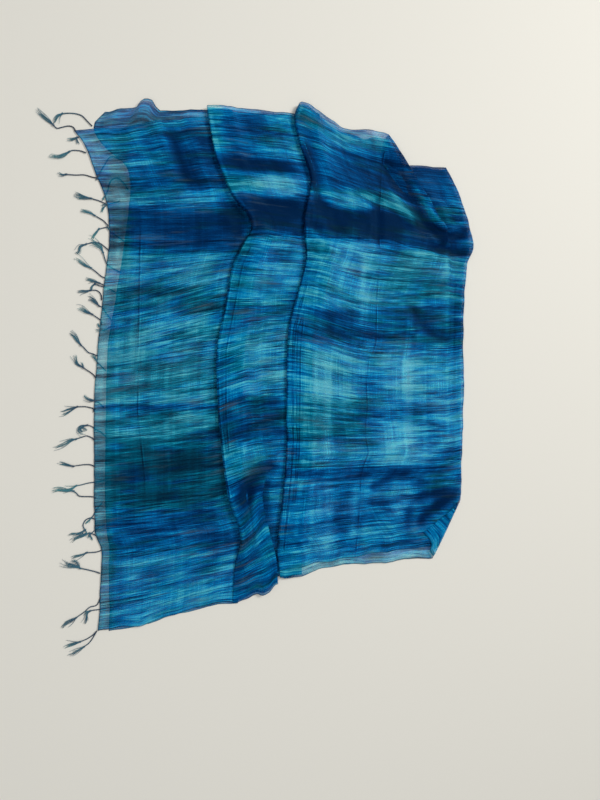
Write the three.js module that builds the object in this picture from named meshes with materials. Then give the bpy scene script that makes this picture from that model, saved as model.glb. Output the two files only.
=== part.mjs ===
// A sheer silk scarf, folded once across its length and lying on a flat surface, its back
// edge the fold and its two fringed ends at the front. Millimetres: +X across the cloth,
// +Y towards the fold, +Z up, the origin under the middle of what it covers.
//
// The upper half lies in four soft tucks. Folds A and B run right across and face the front;
// the corner pleat at the back left faces the back, and so does the puffed roll at the right
// of the middle stretch. The hidden under half is one flat, round-edged solid. The middle and back
// stretches are each divided at the line where the cloth was pressed in half along its length.

import * as THREE from 'three';

// ---------------------------------------------------------------- driving dimensions

const WALL = 1; // thickness of a wall of cloth
const CLEAR = 0.4; // gap between the under half and the cloth that lies on it
const PITCH = 1.8; // from the middle of one layer in a tuck to the middle of the next
const UNDER_HEIGHT = 1.2; // the under half, flat underneath
const EDGE_ROUND = 0.4; // rounding of the edges of the flat pieces
const LIE = UNDER_HEIGHT + CLEAR + WALL / 2; // middle of a wall that lies on the under half
const HEM_LIE = WALL / 2 + 0.1; // middle of a wall that lies on the surface itself
const COLUMNS = 28; // facets across the whole cloth
const PRESSED_LINE = 0.5; // share of the way across where the middle and back stretches are divided
const SEAM_SHARE = 0.00025; // half the gap there, 0.2 mm, as a share of the width
const NOSE_FACETS = 4; // facets round the nose of a fold
const NOSE_ROUND = 0.45; // length of a nose over its height
const HELD_PAST = 7; // how far past the end of a tuck the cloth on top is held up
const SETTLE = 16; // length over which cloth comes down off the end of a tuck
const NOSE_SLOPE = { least: 10, perHigh: 2 }; // length over which cloth falls away behind a nose
const ROLL_PUFF = 0.5; // how much the roll is puffed up in front, as a share of its height
const MADE_DEEP = 12; // a fold that faces the back is fully made where its tuck is this deep
const BACK_LIFT_REACH = 14; // length over which the back fold lifts the cloth in front of it
const BACK_BEND_TURNS = [60, 25, -10, -50]; // degrees round the back fold, from the top
const FRINGE_HEIGHT = 1.2; // each row of tassels, as a plain solid
const FRINGE_START = 0.8; // a row of tassels starts this far in front of its edge
const UPPER_FRINGE_BOTTOM = FRINGE_HEIGHT + CLEAR;
const CORNER_BOTTOM = 3.9; // underside of the turned corner, on the back stretch
const CORNER_HEIGHT = 2; // its two layers

const NAVY = 0x0b3f74;
const BLUE = 0x0f6aa8;
const TURQUOISE = 0x2f9cbd;
const TEAL = 0x1f6f86;

// ---------------------------------------------------------------- where the cloth lies

// A section across the cloth at each main line, front to back: where the warp threads at the
// left edge, the quarters and the right edge cross it.
const THREADS = [
  { line: 'hem', left: -427, first: -227, middle: 4, third: 242, right: 458 },
  { line: 'under fold A', left: -474, first: -245, middle: -30, third: 224, right: 424 },
  { line: 'fold A', left: -486, first: -265, middle: -45, third: 185, right: 420 },
  { line: 'roll', left: -487, first: -265, middle: -60, third: 182, right: 409 },
  { line: 'under fold B', left: -489, first: -262, middle: -74, third: 178, right: 366 },
  { line: 'fold B', left: -504, first: -259, middle: -80, third: 178, right: 379 },
  { line: 'behind fold B', left: -469, first: -256, middle: -50, third: 178, right: 356 },
  { line: 'corner pleat', left: -461, first: -256, middle: -50, third: 178, right: 350 },
  { line: 'under the pleat', left: -412, first: -256, middle: -52, third: 177, right: 352 },
  { line: 'back fold', left: -406, first: -252, middle: -54, third: 174, right: 365 },
];
const MARKS = { left: 0, first: 0.25, middle: 0.5, third: 0.75, right: 1 };

// Front edge of the upper half.
const HEM = [
  { x: -427, y: -349 },
  { x: -407, y: -336 },
  { x: -350, y: -314 },
  { x: -302, y: -298 },
  { x: -241, y: -296 },
  { x: -197, y: -302 },
  { x: -127, y: -311 },
  { x: -38, y: -321 },
  { x: 42, y: -328 },
  { x: 140, y: -331 },
  { x: 274, y: -332 },
  { x: 317, y: -322 },
  { x: 402, y: -327 },
  { x: 458, y: -331 },
];

// Nose of each fold across the cloth: y of the nose, how high it stands, how deep its tuck is.
const FOLD_A = [
  { x: -486, y: -122, high: 9, deep: 42 },
  { x: -454, y: -117, high: 8, deep: 44 },
  { x: -400, y: -107, high: 8, deep: 46 },
  { x: -357, y: -91, high: 10, deep: 44 },
  { x: -324, y: -76, high: 13, deep: 40 },
  { x: -298, y: -53, high: 16, deep: 36 },
  { x: -270, y: -44, high: 16, deep: 36 },
  { x: -243, y: -59, high: 12, deep: 40 },
  { x: -205, y: -79, high: 8, deep: 44 },
  { x: -122, y: -95, high: 7, deep: 46 },
  { x: -45, y: -111, high: 7, deep: 46 },
  { x: 68, y: -110, high: 7, deep: 42 },
  { x: 169, y: -102, high: 9, deep: 30 },
  { x: 227, y: -94, high: 13, deep: 20 },
  { x: 301, y: -73, high: 13, deep: 18 },
  { x: 345, y: -81, high: 10, deep: 22 },
  { x: 420, y: -88, high: 7, deep: 26 },
];
const FOLD_B = [
  { x: -504, y: 50, high: 13, deep: 40 },
  { x: -480, y: 40, high: 11, deep: 42 },
  { x: -438, y: 48, high: 9, deep: 44 },
  { x: -366, y: 70, high: 10, deep: 42 },
  { x: -291, y: 57, high: 8, deep: 44 },
  { x: -217, y: 59, high: 7, deep: 46 },
  { x: -168, y: 47, high: 6, deep: 46 },
  { x: -95, y: 27, high: 6, deep: 44 },
  { x: -45, y: 21, high: 6, deep: 46 },
  { x: 150, y: 17, high: 6, deep: 48 },
  { x: 239, y: 8, high: 7, deep: 48 },
  { x: 330, y: -3, high: 8, deep: 44 },
  { x: 385, y: 2, high: 5, deep: 40 },
];
const BACK_FOLD = [
  { x: -410, y: 345, high: 6 },
  { x: -371, y: 366, high: 7 },
  { x: -332, y: 383, high: 8 },
  { x: -298, y: 395, high: 10 },
  { x: -248, y: 401, high: 16 },
  { x: -215, y: 390, high: 10 },
  { x: -86, y: 383, high: 8 },
  { x: 15, y: 383, high: 8 },
  { x: 200, y: 380, high: 7 },
  { x: 255, y: 381, high: 5 },
  { x: 365, y: 381, high: 3 },
];

// The two folds that face the back, by their place across the cloth (0 is the left edge). Cover
// is how far in front of the nose the cloth on top is held up. Where deep is less than nothing
// there is no tuck, and the rows lie one behind the other.
const ROLL = [
  { across: 0, y: -35, high: 0, deep: -20, cover: 0 },
  { across: 0.1, y: -20, high: 0, deep: -20, cover: 0 },
  { across: 0.25, y: 4, high: 0, deep: -20, cover: 0 },
  { across: 0.35, y: -15, high: 0, deep: -20, cover: 0 },
  { across: 0.5, y: -45, high: 0, deep: -20, cover: 0 },
  { across: 0.62, y: -43, high: 0, deep: -20, cover: 0 },
  { across: 0.7, y: -30, high: 3, deep: -12, cover: 0 },
  { across: 0.75, y: -24, high: 7, deep: 4, cover: 4 },
  { across: 0.8, y: -28, high: 13, deep: 16, cover: 16 },
  { across: 0.84, y: -25, high: 16, deep: 20, cover: 20 },
  { across: 0.89, y: -12, high: 16, deep: 22, cover: 22 },
  { across: 0.94, y: -5, high: 12, deep: 24, cover: 24 },
  { across: 1, y: -12, high: 8, deep: 24, cover: 24 },
];
const CORNER_PLEAT = [
  { across: 0, y: 226, high: 6, deep: 16, cover: 50 },
  { across: 0.066, y: 273, high: 9, deep: 20, cover: 54 },
  { across: 0.126, y: 305, high: 10, deep: 20, cover: 46 },
  { across: 0.172, y: 328, high: 10, deep: 18, cover: 34 },
  { across: 0.209, y: 345, high: 9, deep: 12, cover: 20 },
  { across: 0.25, y: 350, high: 4, deep: -4, cover: 0 },
  { across: 0.3, y: 344, high: 0, deep: -16, cover: 0 },
  { across: 1, y: 335, high: 0, deep: -16, cover: 0 },
];

// The under half: its front edge from left to right, then the rest of its outline, back to the
// left, through the points where it shows past the upper half.
const UNDER_FRONT = [
  { x: -440, y: -315 },
  { x: -403, y: -301 },
  { x: -374, y: -266 },
  { x: -348, y: -258 },
  { x: -297, y: -261 },
  { x: -246, y: -269 },
  { x: -153, y: -285 },
  { x: -56, y: -302 },
  { x: 42, y: -308 },
  { x: 230, y: -313 },
  { x: 318, y: -309 },
  { x: 455, y: -311 },
];
const UNDER_REST = [
  { x: 448, y: -204 },
  { x: 422, y: -89 },
  { x: 413, y: -40 },
  { x: 386, y: 4 },
  { x: 370, y: 88 },
  { x: 377, y: 176 },
  { x: 368, y: 230 },
  { x: 367, y: 290 },
  { x: 354, y: 314 },
  { x: 248, y: 368 },
  { x: 100, y: 373 },
  { x: -86, y: 376 },
  { x: -212, y: 383 },
  { x: -262, y: 390 },
  { x: -330, y: 375 },
  { x: -372, y: 357 },
  { x: -403, y: 338 },
  { x: -403, y: 240 },
  { x: -441, y: 225 },
  { x: -455, y: 159 },
  { x: -476, y: 100 },
  { x: -486, y: 34 },
  { x: -480, y: -60 },
  { x: -468, y: -130 },
  { x: -470, y: -204 },
  { x: -490, y: -222 },
  { x: -474, y: -245 },
  { x: -463, y: -296 },
];

// How far the tassels of each end reach, from the left to the right of the front edge.
const UPPER_FRINGE = [
  { x: -458, y: -401.5 },
  { x: -434, y: -401.5 },
  { x: -383, y: -396 },
  { x: -317, y: -358 },
  { x: -206, y: -360 },
  { x: -79, y: -370 },
  { x: 65, y: -391 },
  { x: 199, y: -401.5 },
  { x: 330, y: -386 },
  { x: 454, y: -399 },
  { x: 504, y: -392 },
];
const UNDER_FRINGE = [
  { x: -434, y: -388 },
  { x: -353, y: -380 },
  { x: -240, y: -345 },
  { x: -119, y: -355 },
  { x: 126, y: -399 },
  { x: 260, y: -372 },
  { x: 324, y: -394 },
  { x: 456, y: -394 },
];

// The back right corner, both layers, is turned over a slanting line and lies on the back stretch.
const CORNER_HINGE = { from: { x: 252, y: 382 }, to: { x: 361, y: 326 } };
const CORNER_TIP = { x: 306, y: 293 };
const HINGE_EASE = 18; // length over which the cloth is drawn in to the slanting line

// ---------------------------------------------------------------- tables to curves

// Smooth value of one named column, between rows that are sorted by another.
function read(rows, by, at, column) {
  const last = rows.length - 1;
  if (at <= rows[0][by]) return rows[0][column];
  if (at >= rows[last][by]) return rows[last][column];
  let i = 0;
  while (rows[i + 1][by] < at) i += 1;
  const slope = (k) => {
    const before = rows[Math.max(k - 1, 0)];
    const after = rows[Math.min(k + 1, last)];
    return (after[column] - before[column]) / (after[by] - before[by]);
  };
  const span = rows[i + 1][by] - rows[i][by];
  const t = (at - rows[i][by]) / span;
  const start = rows[i][column] * (1 + 2 * t) * (1 - t) ** 2;
  const end = rows[i + 1][column] * t * t * (3 - 2 * t);
  return start + end + span * (slope(i) * t * (1 - t) ** 2 - slope(i + 1) * t * t * (1 - t));
}

// Sections turned into tables by place across the cloth.
const SECTIONS = THREADS.map((section) =>
  Object.entries(MARKS).map(([mark, across]) => ({ across, x: section[mark] })));

// x of a thread, at a place across the cloth and a place along it in numbered sections.
function threadX(section, across) {
  const low = Math.min(Math.floor(section), SECTIONS.length - 2);
  const near = read(SECTIONS[low], 'across', across, 'x');
  const far = read(SECTIONS[low + 1], 'across', across, 'x');
  return near + (far - near) * (section - low);
}

// Sections by number. The layer that returns under the roll ends a little behind it.
const AT = {
  hem: 0,
  underA: 1,
  foldA: 2,
  roll: 3,
  underRoll: 3.3,
  underB: 4,
  foldB: 5,
  pleat: 7,
  underPleat: 8,
  back: 9,
};

const mix = (a, b, t) => a + (b - a) * t;
const ease = (t) => {
  const s = Math.min(Math.max(t, 0), 1);
  return s * s * (3 - 2 * s);
};

// Height of cloth above LIE at a distance behind the nose of a tuck it forms.
function overTuck(fold, distance) {
  const layers = 2 * PITCH * ease((fold.cover + SETTLE - distance) / SETTLE);
  const reach = NOSE_SLOPE.least + NOSE_SLOPE.perHigh * fold.high;
  return layers + Math.max(fold.high - PITCH, 0) * Math.exp(-((distance / reach) ** 2));
}

// ---------------------------------------------------------------- the path of one thread

function foldAt(table, x) {
  const deep = read(table, 'x', x, 'deep');
  const cover = deep + HELD_PAST;
  return { y: read(table, 'x', x, 'y'), high: read(table, 'x', x, 'high'), deep, cover };
}

function backFacing(table, across) {
  const deep = read(table, 'across', across, 'deep');
  return {
    y: read(table, 'across', across, 'y'),
    high: read(table, 'across', across, 'high'),
    deep,
    cover: read(table, 'across', across, 'cover'),
    made: ease(deep / MADE_DEEP),
  };
}

// Points round the nose of a fold that faces the front, from below to above.
function frontNose(fold, x) {
  const points = [];
  const half = fold.high / 2;
  const length = fold.high * NOSE_ROUND;
  for (let i = 0; i <= NOSE_FACETS; i += 1) {
    const turn = -Math.PI / 2 - (Math.PI * i) / NOSE_FACETS;
    points.push([x, fold.y + length * (1 + Math.cos(turn)), LIE + PITCH + half * (1 + Math.sin(turn))]);
  }
  return points;
}

// The layer that returns under a back-facing nose: how far back to the end of the tuck each row
// is, and how far down to the layer below.
const FLAT_STEP = 4;
const RETURN_STEPS = [
  { back: 0.55, down: 0 },
  { back: 0.96, down: 0.1 },
  { back: 1, down: 0.5 },
  { back: 0.96, down: 0.9 },
];

// The nose of a fold that faces the back, and the layer that returns under it. Where the fold
// isn't made, the same rows lie flat, one behind the other.
function backNose(fold, section, next, across) {
  const points = [];
  const half = fold.high / 2;
  const length = fold.high * NOSE_ROUND;
  for (let i = 0; i <= NOSE_FACETS; i += 1) {
    const turn = Math.PI / 2 - (Math.PI * i) / NOSE_FACETS;
    const round = [fold.y - length * (1 - Math.cos(turn)), LIE + PITCH + half * (1 + Math.sin(turn))];
    const flat = [fold.y + FLAT_STEP * (i - NOSE_FACETS / 2), LIE];
    const x = threadX(section, across);
    points.push([x, mix(flat[0], round[0], fold.made), mix(flat[1], round[1], fold.made)]);
  }
  const start = points[points.length - 1];
  const inner = fold.y - fold.deep;
  for (const step of RETURN_STEPS) {
    const z = LIE + fold.made * PITCH * (1 - step.down);
    const order = (1 - fold.made) * step.down * FLAT_STEP;
    const x = threadX(mix(section, next, step.back), across);
    points.push([x, mix(start[1], inner, step.back) + order, z]);
  }
  return points;
}

// Shares of the way from one place to the next for rows that lie close behind the first fold,
// close in front of the second and evenly between.
function spread(from, to, behind, between, ahead) {
  const length = to - from;
  const near = behind.map((distance) => distance / length);
  const far = ahead.map((distance) => 1 - distance / length);
  const start = near[near.length - 1];
  const end = far.length > 0 ? far[0] : 1;
  const middle = between.map((share) => mix(start, end, share));
  return [...near, ...middle, ...far];
}

// Rows of cloth from one place to another, at shares of the way.
function run(from, to, shares, across, height) {
  return shares.map((share) => {
    const y = mix(from.y, to.y, share);
    return [threadX(mix(from.at, to.at, share), across), y, height(y)];
  });
}

function frontPath(across) {
  const hem = read(HEM, 'x', threadX(AT.hem, across), 'y');
  const fold = foldAt(FOLD_A, threadX(AT.foldA, across));
  const front = { y: hem, at: AT.hem };
  const under = { y: fold.y + fold.deep, at: AT.underA };
  return run(front, under, [0, 0.1, 0.25, 0.4, 0.55, 0.7, 0.85, 1], across, () => LIE);
}

function middlePath(across) {
  const fold = foldAt(FOLD_A, threadX(AT.foldA, across));
  const next = foldAt(FOLD_B, threadX(AT.foldB, across));
  const roll = backFacing(ROLL, across);
  const noseLength = fold.high * NOSE_ROUND;
  const under = { y: fold.y + fold.deep, at: AT.underA };
  const crest = { y: fold.y + noseLength, at: AT.foldA };
  const rows = run(under, crest, [0, 0.5, 0.9], across, () => LIE + PITCH);
  rows.push(...frontNose(fold, threadX(AT.foldA, across)));

  const top = backNose(roll, AT.roll, AT.underRoll, across);
  const height = (y) => {
    const share = (y - crest.y) / (top[0][1] - crest.y);
    const fromRoll = roll.made * overTuck(roll, roll.y - y);
    const puff = roll.made * roll.high * ROLL_PUFF * Math.sin(Math.PI * share);
    return LIE + Math.max(overTuck(fold, y - fold.y), fromRoll) + puff;
  };
  rows.push(...run(crest, { y: top[0][1], at: AT.roll }, [0.12, 0.3, 0.5, 0.7, 0.88], across, height));
  if (roll.made < 1) {
    top.forEach((point) => {
      point[2] = Math.max(point[2], mix(height(point[1]), point[2], roll.made));
    });
  }
  rows.push(...top);

  const start = { y: top[top.length - 1][1], at: AT.underRoll };
  const end = { y: next.y + next.deep, at: AT.underB };
  const settle = (y) => LIE + (1 - roll.made) * overTuck(fold, y - fold.y);
  rows.push(...run(start, end, [0.2, 0.45, 0.7, 1], across, settle));
  return rows;
}

function backPath(across) {
  const fold = foldAt(FOLD_B, threadX(AT.foldB, across));
  const pleat = backFacing(CORNER_PLEAT, across);
  const backX = threadX(AT.back, across);
  const edgeY = read(BACK_FOLD, 'x', backX, 'y');
  const edgeHigh = read(BACK_FOLD, 'x', backX, 'high');
  const under = { y: fold.y + fold.deep, at: AT.underB };
  const crest = { y: fold.y + fold.high * NOSE_ROUND, at: AT.foldB };
  const rows = run(under, crest, [0, 0.5, 0.9], across, () => LIE + PITCH);
  rows.push(...frontNose(fold, threadX(AT.foldB, across)));

  const top = backNose(pleat, AT.pleat, AT.underPleat, across);
  const height = (y) =>
    LIE + Math.max(overTuck(fold, y - fold.y), pleat.made * overTuck(pleat, pleat.y - y));
  const shares = spread(crest.y, top[0][1], [10, 26, 42, 60], [0.5], [70, 50, 34, 16]);
  rows.push(...run(crest, { y: top[0][1], at: AT.pleat }, shares, across, height));
  rows.push(...top);

  const start = { y: top[top.length - 1][1], at: AT.underPleat };
  const bendLength = edgeHigh * NOSE_ROUND;
  const bend = { y: edgeY - bendLength, at: AT.back };
  const lift = Math.max(edgeHigh - 2 * LIE, 0);
  const rise = (y) => LIE + lift * Math.exp(-(((bend.y - y) / BACK_LIFT_REACH) ** 2));
  rows.push(...run(start, bend, [0.35, 0.7, 1], across, rise));
  const crestZ = rows[rows.length - 1][2];
  for (const turn of BACK_BEND_TURNS) {
    const angle = (turn * Math.PI) / 180;
    const half = (crestZ - HEM_LIE) / 2;
    rows.push([backX, bend.y + bendLength * Math.cos(angle), HEM_LIE + half * (1 + Math.sin(angle))]);
  }
  return rows;
}

// Draws the cloth in to the slanting line that the back right corner is turned over.
function drawIn([x, y, z]) {
  const { from, to } = CORNER_HINGE;
  const length = Math.hypot(to.x - from.x, to.y - from.y);
  const normal = { x: -(to.y - from.y) / length, y: (to.x - from.x) / length };
  const past = (x - from.x) * normal.x + (y - from.y) * normal.y;
  if (past < -HINGE_EASE) return [x, y, z];
  const kept = -HINGE_EASE * Math.exp(-(past + HINGE_EASE) / HINGE_EASE);
  return [x + normal.x * (kept - past), y + normal.y * (kept - past), z];
}

// ---------------------------------------------------------------- solids

// A closed wall of cloth through a grid of points, between two shares of the way across: its two
// faces and the edge all round.
function wall(path, finish, left = 0, right = 1) {
  const count = Math.round(COLUMNS * (right - left));
  const columns = [];
  for (let i = 0; i <= count; i += 1) {
    const across = mix(left, right, i / count);
    columns.push(path(across).map(finish).map((point) => new THREE.Vector3(...point)));
  }
  const rowCount = columns[0].length;
  const { clamp } = THREE.MathUtils;
  const place = (i, j) => columns[clamp(i, 0, count)][clamp(j, 0, rowCount - 1)];
  const positions = [];
  for (const side of [1, -1]) {
    for (let i = 0; i <= count; i += 1) {
      for (let j = 0; j < rowCount; j += 1) {
        const acrossStep = place(i + 1, j).clone().sub(place(i - 1, j));
        const alongStep = place(i, j + 1).clone().sub(place(i, j - 1));
        const normal = acrossStep.cross(alongStep).normalize();
        positions.push(...place(i, j).clone().addScaledVector(normal, (side * WALL) / 2).toArray());
      }
    }
  }
  const face = (count + 1) * rowCount;
  const index = [];
  const quad = (a, b, c, d) => index.push(a, b, c, a, c, d);
  for (let i = 0; i < count; i += 1) {
    for (let j = 0; j < rowCount - 1; j += 1) {
      const a = i * rowCount + j;
      const b = a + rowCount;
      quad(a, b, b + 1, a + 1);
      quad(face + a, face + a + 1, face + b + 1, face + b);
    }
    const low = i * rowCount;
    const high = low + rowCount - 1;
    quad(low, face + low, face + low + rowCount, low + rowCount);
    quad(high, high + rowCount, face + high + rowCount, face + high);
  }
  for (let j = 0; j < rowCount - 1; j += 1) {
    const far = count * rowCount + j;
    quad(j, j + 1, face + j + 1, face + j);
    quad(far, face + far, face + far + 1, far + 1);
  }
  const geometry = new THREE.BufferGeometry();
  geometry.setAttribute('position', new THREE.Float32BufferAttribute(positions, 3));
  geometry.setIndex(index);
  geometry.computeVertexNormals();
  return geometry;
}

// A flat piece with rounded edges, from one height to another.
function slab(outline, bottom, height, round) {
  const shape = new THREE.Shape(outline.map(({ x, y }) => new THREE.Vector2(x, y)));
  const geometry = new THREE.ExtrudeGeometry(shape, {
    depth: height - round,
    bevelEnabled: true,
    bevelThickness: round / 2,
    bevelSize: round,
    bevelOffset: -round,
    bevelSegments: 1,
    steps: 1,
  });
  geometry.translate(0, 0, bottom + round / 2);
  return geometry;
}

// The reach of a row of tassels: from just in front of an edge to the ends of the tassels.
function fringeOutline(reach, edge) {
  const inner = edge.map(({ x, y }) => ({ x, y: y - FRINGE_START }));
  return reach.concat(inner.reverse());
}

function piece(name, geometry, color) {
  const material = new THREE.MeshStandardMaterial({ color, roughness: 0.5, metalness: 0 });
  const mesh = new THREE.Mesh(geometry, material);
  mesh.name = name;
  return mesh;
}

// ---------------------------------------------------------------- the scarf

const scarf = new THREE.Group();

const underOutline = UNDER_FRONT.concat(UNDER_REST);
scarf.add(piece('silk_under_half', slab(underOutline, 0, UNDER_HEIGHT, EDGE_ROUND), NAVY));
scarf.add(piece('silk_front_stretch', wall(frontPath, (point) => point), TEAL));
const leftHalf = [0, PRESSED_LINE - SEAM_SHARE];
const rightHalf = [PRESSED_LINE + SEAM_SHARE, 1];
scarf.add(piece('silk_middle_left', wall(middlePath, (point) => point, ...leftHalf), BLUE));
scarf.add(piece('silk_middle_right', wall(middlePath, (point) => point, ...rightHalf), BLUE));
scarf.add(piece('silk_back_left', wall(backPath, drawIn, ...leftHalf), TURQUOISE));
scarf.add(piece('silk_back_right', wall(backPath, drawIn, ...rightHalf), TURQUOISE));

const corner = [CORNER_HINGE.from, CORNER_TIP, CORNER_HINGE.to];
scarf.add(piece('silk_turned_corner', slab(corner, CORNER_BOTTOM, CORNER_HEIGHT, EDGE_ROUND), BLUE));

const underFringe = fringeOutline(UNDER_FRINGE, UNDER_FRONT);
scarf.add(piece('fringe_under_end', slab(underFringe, 0, FRINGE_HEIGHT, EDGE_ROUND), TEAL));
const hem = Array.from({ length: COLUMNS + 1 }, (_, i) => frontPath(i / COLUMNS)[0]);
const upperFringe = fringeOutline(UPPER_FRINGE, hem.map(([x, y]) => ({ x, y })));
const upperFringeSlab = slab(upperFringe, UPPER_FRINGE_BOTTOM, FRINGE_HEIGHT, EDGE_ROUND);
scarf.add(piece('fringe_upper_end', upperFringeSlab, TEAL));

export default scarf;
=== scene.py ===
# %% [markdown]
# # A sheer silk scarf, folded once and laid on a table
#
# The scarf is one length of thin silk, 90 cm wide and 180 cm long. It is folded across its middle
# and laid down, so its back edge is the fold and its two knotted fringes lie at the front. The
# upper half has slipped into soft tucks: two face the front, one at the back left corner faces
# the back, and a puffed roll lies at the right.
#
# We could drape the cloth with a simulation, but these tucks are the result of a hand sliding the
# cloth about, and a simulation would fold it somewhere else. So we work the other way round. We
# say where the warp threads run, let every thread follow the tucks over and under, and put a
# grid of cloth through them.

# %% Load the frame
import math
import random

import bpy
import numpy as np
from mathutils import Matrix, Vector, noise


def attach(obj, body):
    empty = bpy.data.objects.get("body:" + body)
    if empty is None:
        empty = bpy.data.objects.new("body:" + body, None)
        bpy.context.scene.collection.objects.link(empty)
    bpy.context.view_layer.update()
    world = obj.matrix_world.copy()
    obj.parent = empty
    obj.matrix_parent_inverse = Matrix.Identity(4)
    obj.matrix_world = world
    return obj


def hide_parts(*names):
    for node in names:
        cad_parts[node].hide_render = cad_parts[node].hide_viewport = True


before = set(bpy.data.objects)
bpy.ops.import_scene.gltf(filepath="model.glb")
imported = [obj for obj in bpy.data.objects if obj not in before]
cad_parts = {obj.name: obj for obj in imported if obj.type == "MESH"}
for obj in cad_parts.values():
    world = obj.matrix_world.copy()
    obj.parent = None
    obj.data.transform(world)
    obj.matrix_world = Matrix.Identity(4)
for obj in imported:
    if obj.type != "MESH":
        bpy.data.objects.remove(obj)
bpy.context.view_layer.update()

# %% [markdown]
# ## The camera
#
# The camera stands over the front of the scarf and looks nearly straight down. It is turned a
# quarter, so the back of the scarf is at the right of the view. We give it by the directions of
# the view's right side and its top, which is plainer than three angles.

# %% Camera
EYE = Vector((0.004, -0.201, 1.119))
VIEW_RIGHT = Vector((0.01146, 0.97627, 0.21628))
VIEW_UP = Vector((-0.99917, 0.01966, -0.03577))

bpy.ops.object.camera_add()
camera = bpy.context.object
camera.name = "camera"
view_back = VIEW_RIGHT.cross(VIEW_UP)
turn = Matrix((VIEW_RIGHT, VIEW_UP, view_back)).transposed()
camera.matrix_world = Matrix.Translation(EYE) @ turn.to_4x4()
camera.data.sensor_width = 36
camera.data.lens = 27
camera.data.dof.use_dof = False
bpy.context.scene.camera = camera
print("Camera at", tuple(round(value, 3) for value in EYE))

# %% [markdown]
# ## Short tables and smooth curves
#
# Everything about the cloth is said in short tables in millimetres, one row for each place where
# something changes. `chart` gives the numbers of each row the names of their columns. `curve`
# runs a smooth line through one named column of a table. It takes a whole array of places at
# once, so all the threads are worked out together.

# %% Curves through tables
MM = 0.001


def chart(columns, rows):
    """Rows under named columns. A row may leave out its last columns."""
    names = columns.split()
    return [dict(zip(names, row)) for row in rows]


def curve(rows, by, column):
    """A smooth line through one column of a table, sorted by another column."""
    places = np.array([row[by] for row in rows], float)
    values = np.array([row[column] for row in rows], float)
    slopes = np.empty_like(values)
    slopes[1:-1] = (values[2:] - values[:-2]) / (places[2:] - places[:-2])
    slopes[0] = (values[1] - values[0]) / (places[1] - places[0])
    slopes[-1] = (values[-1] - values[-2]) / (places[-1] - places[-2])

    def value(at):
        at = np.clip(at, places[0], places[-1])
        i = np.clip(np.searchsorted(places, at, side="right") - 1, 0, len(places) - 2)
        span = places[i + 1] - places[i]
        t = (at - places[i]) / span
        start = values[i] * (1 + 2 * t) * (1 - t) ** 2
        end = values[i + 1] * t * t * (3 - 2 * t)
        bend = slopes[i] * t * (1 - t) ** 2 - slopes[i + 1] * t * t * (1 - t)
        return start + end + span * bend

    return value


def ease(t):
    """From 0 to 1, starting and ending softly."""
    t = np.clip(t, 0, 1)
    return t * t * (3 - 2 * t)


def mix(a, b, t):
    return a + (b - a) * t


def soft_noise(x, y, scale, seed):
    """Smooth noise from -1 to 1 over an array of places."""
    flat = [noise.noise((a / scale, b / scale, seed)) for a, b in zip(x.ravel(), y.ravel())]
    return np.array(flat).reshape(x.shape)


halfway = curve(chart("x y", [(0, 0), (10, 4), (20, 0)]), "x", "y")(5)
print("Half way up a hump of 4 mm the curve is at", round(float(halfway), 2), "mm")

# %% [markdown]
# ## Where the warp threads run
#
# The warp threads go from one fringe to the other. Each row of this table is a line across the
# cloth, from the front to the back, and says where eight threads cross it: the two edges and six
# between them. `SHARES` says which threads they are, as shares of the width. They aren't evenly
# spaced, because the tucks pull the cloth aside. The lower half's edges lie a little off the
# upper ones, and `LOWER_EDGES` says by how much.

# %% Warp threads
THREADS = chart("line x", [
    ("hem", [-427, -328, -227, -118, 4, 242, 352, 458]),
    ("under fold A", [-474, -355, -245, -180, -30, 224, 322, 423]),
    ("fold A", [-486, -374, -265, -168, -45, 190, 314, 424]),
    ("roll", [-487, -375, -265, -165, -60, 172, 276, 397]),
    ("under fold B", [-489, -374, -262, -168, -74, 174, 268, 370]),
    ("fold B", [-504, -392, -274, -180, -86, 178, 275, 372]),
    ("behind fold B", [-469, -360, -258, -153, -50, 178, 266, 357]),
    ("corner pleat", [-461, -322, -242, -152, -50, 178, 263, 350]),
    ("under the pleat", [-412, -333, -238, -151, -52, 177, 264, 352]),
    ("back fold", [-406, -328, -234, -149, -54, 174, 268, 365]),
])
LOWER_EDGES = chart("line left right", [
    ("hem", -36, 2), ("under fold A", -12, 2), ("fold A", 3, -3), ("roll", 3, -3),
    ("under fold B", 4, 8), ("fold B", 6, 11), ("behind fold B", 8, 16), ("corner pleat", 18, 24),
    ("under the pleat", 8, 12), ("back fold", 3, 0),
])
SHARES = [0, 0.125, 0.25, 0.375, 0.5, 0.75, 0.875, 1]
HEM, UNDER_A, FOLD_A, ROLL, UNDER_ROLL = 0, 1, 2, 3, 3.3
UNDER_B, FOLD_B, PLEAT, UNDER_PLEAT, BACK = 4, 5, 7, 8, 9


def thread_lines(across, edges=None):
    """For an array of threads, a function that gives x at any place from hem to back fold."""
    crossings = []
    for number, section in enumerate(THREADS):
        rows = [dict(across=share, x=x) for share, x in zip(SHARES, section["x"])]
        if edges:
            rows[0]["x"] += edges[number]["left"]
            rows[-1]["x"] += edges[number]["right"]
        crossings.append(curve(rows, "across", "x")(across))
    crossings = np.array(crossings)
    threads = np.arange(len(across))
    last = len(crossings) - 1

    def x_at(place):
        place = np.broadcast_to(np.asarray(place, float), across.shape)
        i = np.clip(place.astype(int), 0, last - 1)
        t = place - i
        before = crossings[np.maximum(i - 1, 0), threads]
        here = crossings[i, threads]
        there = crossings[i + 1, threads]
        after = crossings[np.minimum(i + 2, last), threads]
        rise = (there - before) / 2 * t * (1 - t) ** 2
        fall = (after - here) / 2 * t * t * (1 - t)
        return here * (1 + 2 * t) * (1 - t) ** 2 + there * t * t * (3 - 2 * t) + rise - fall

    return x_at


print(len(THREADS), "lines across the cloth")

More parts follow.
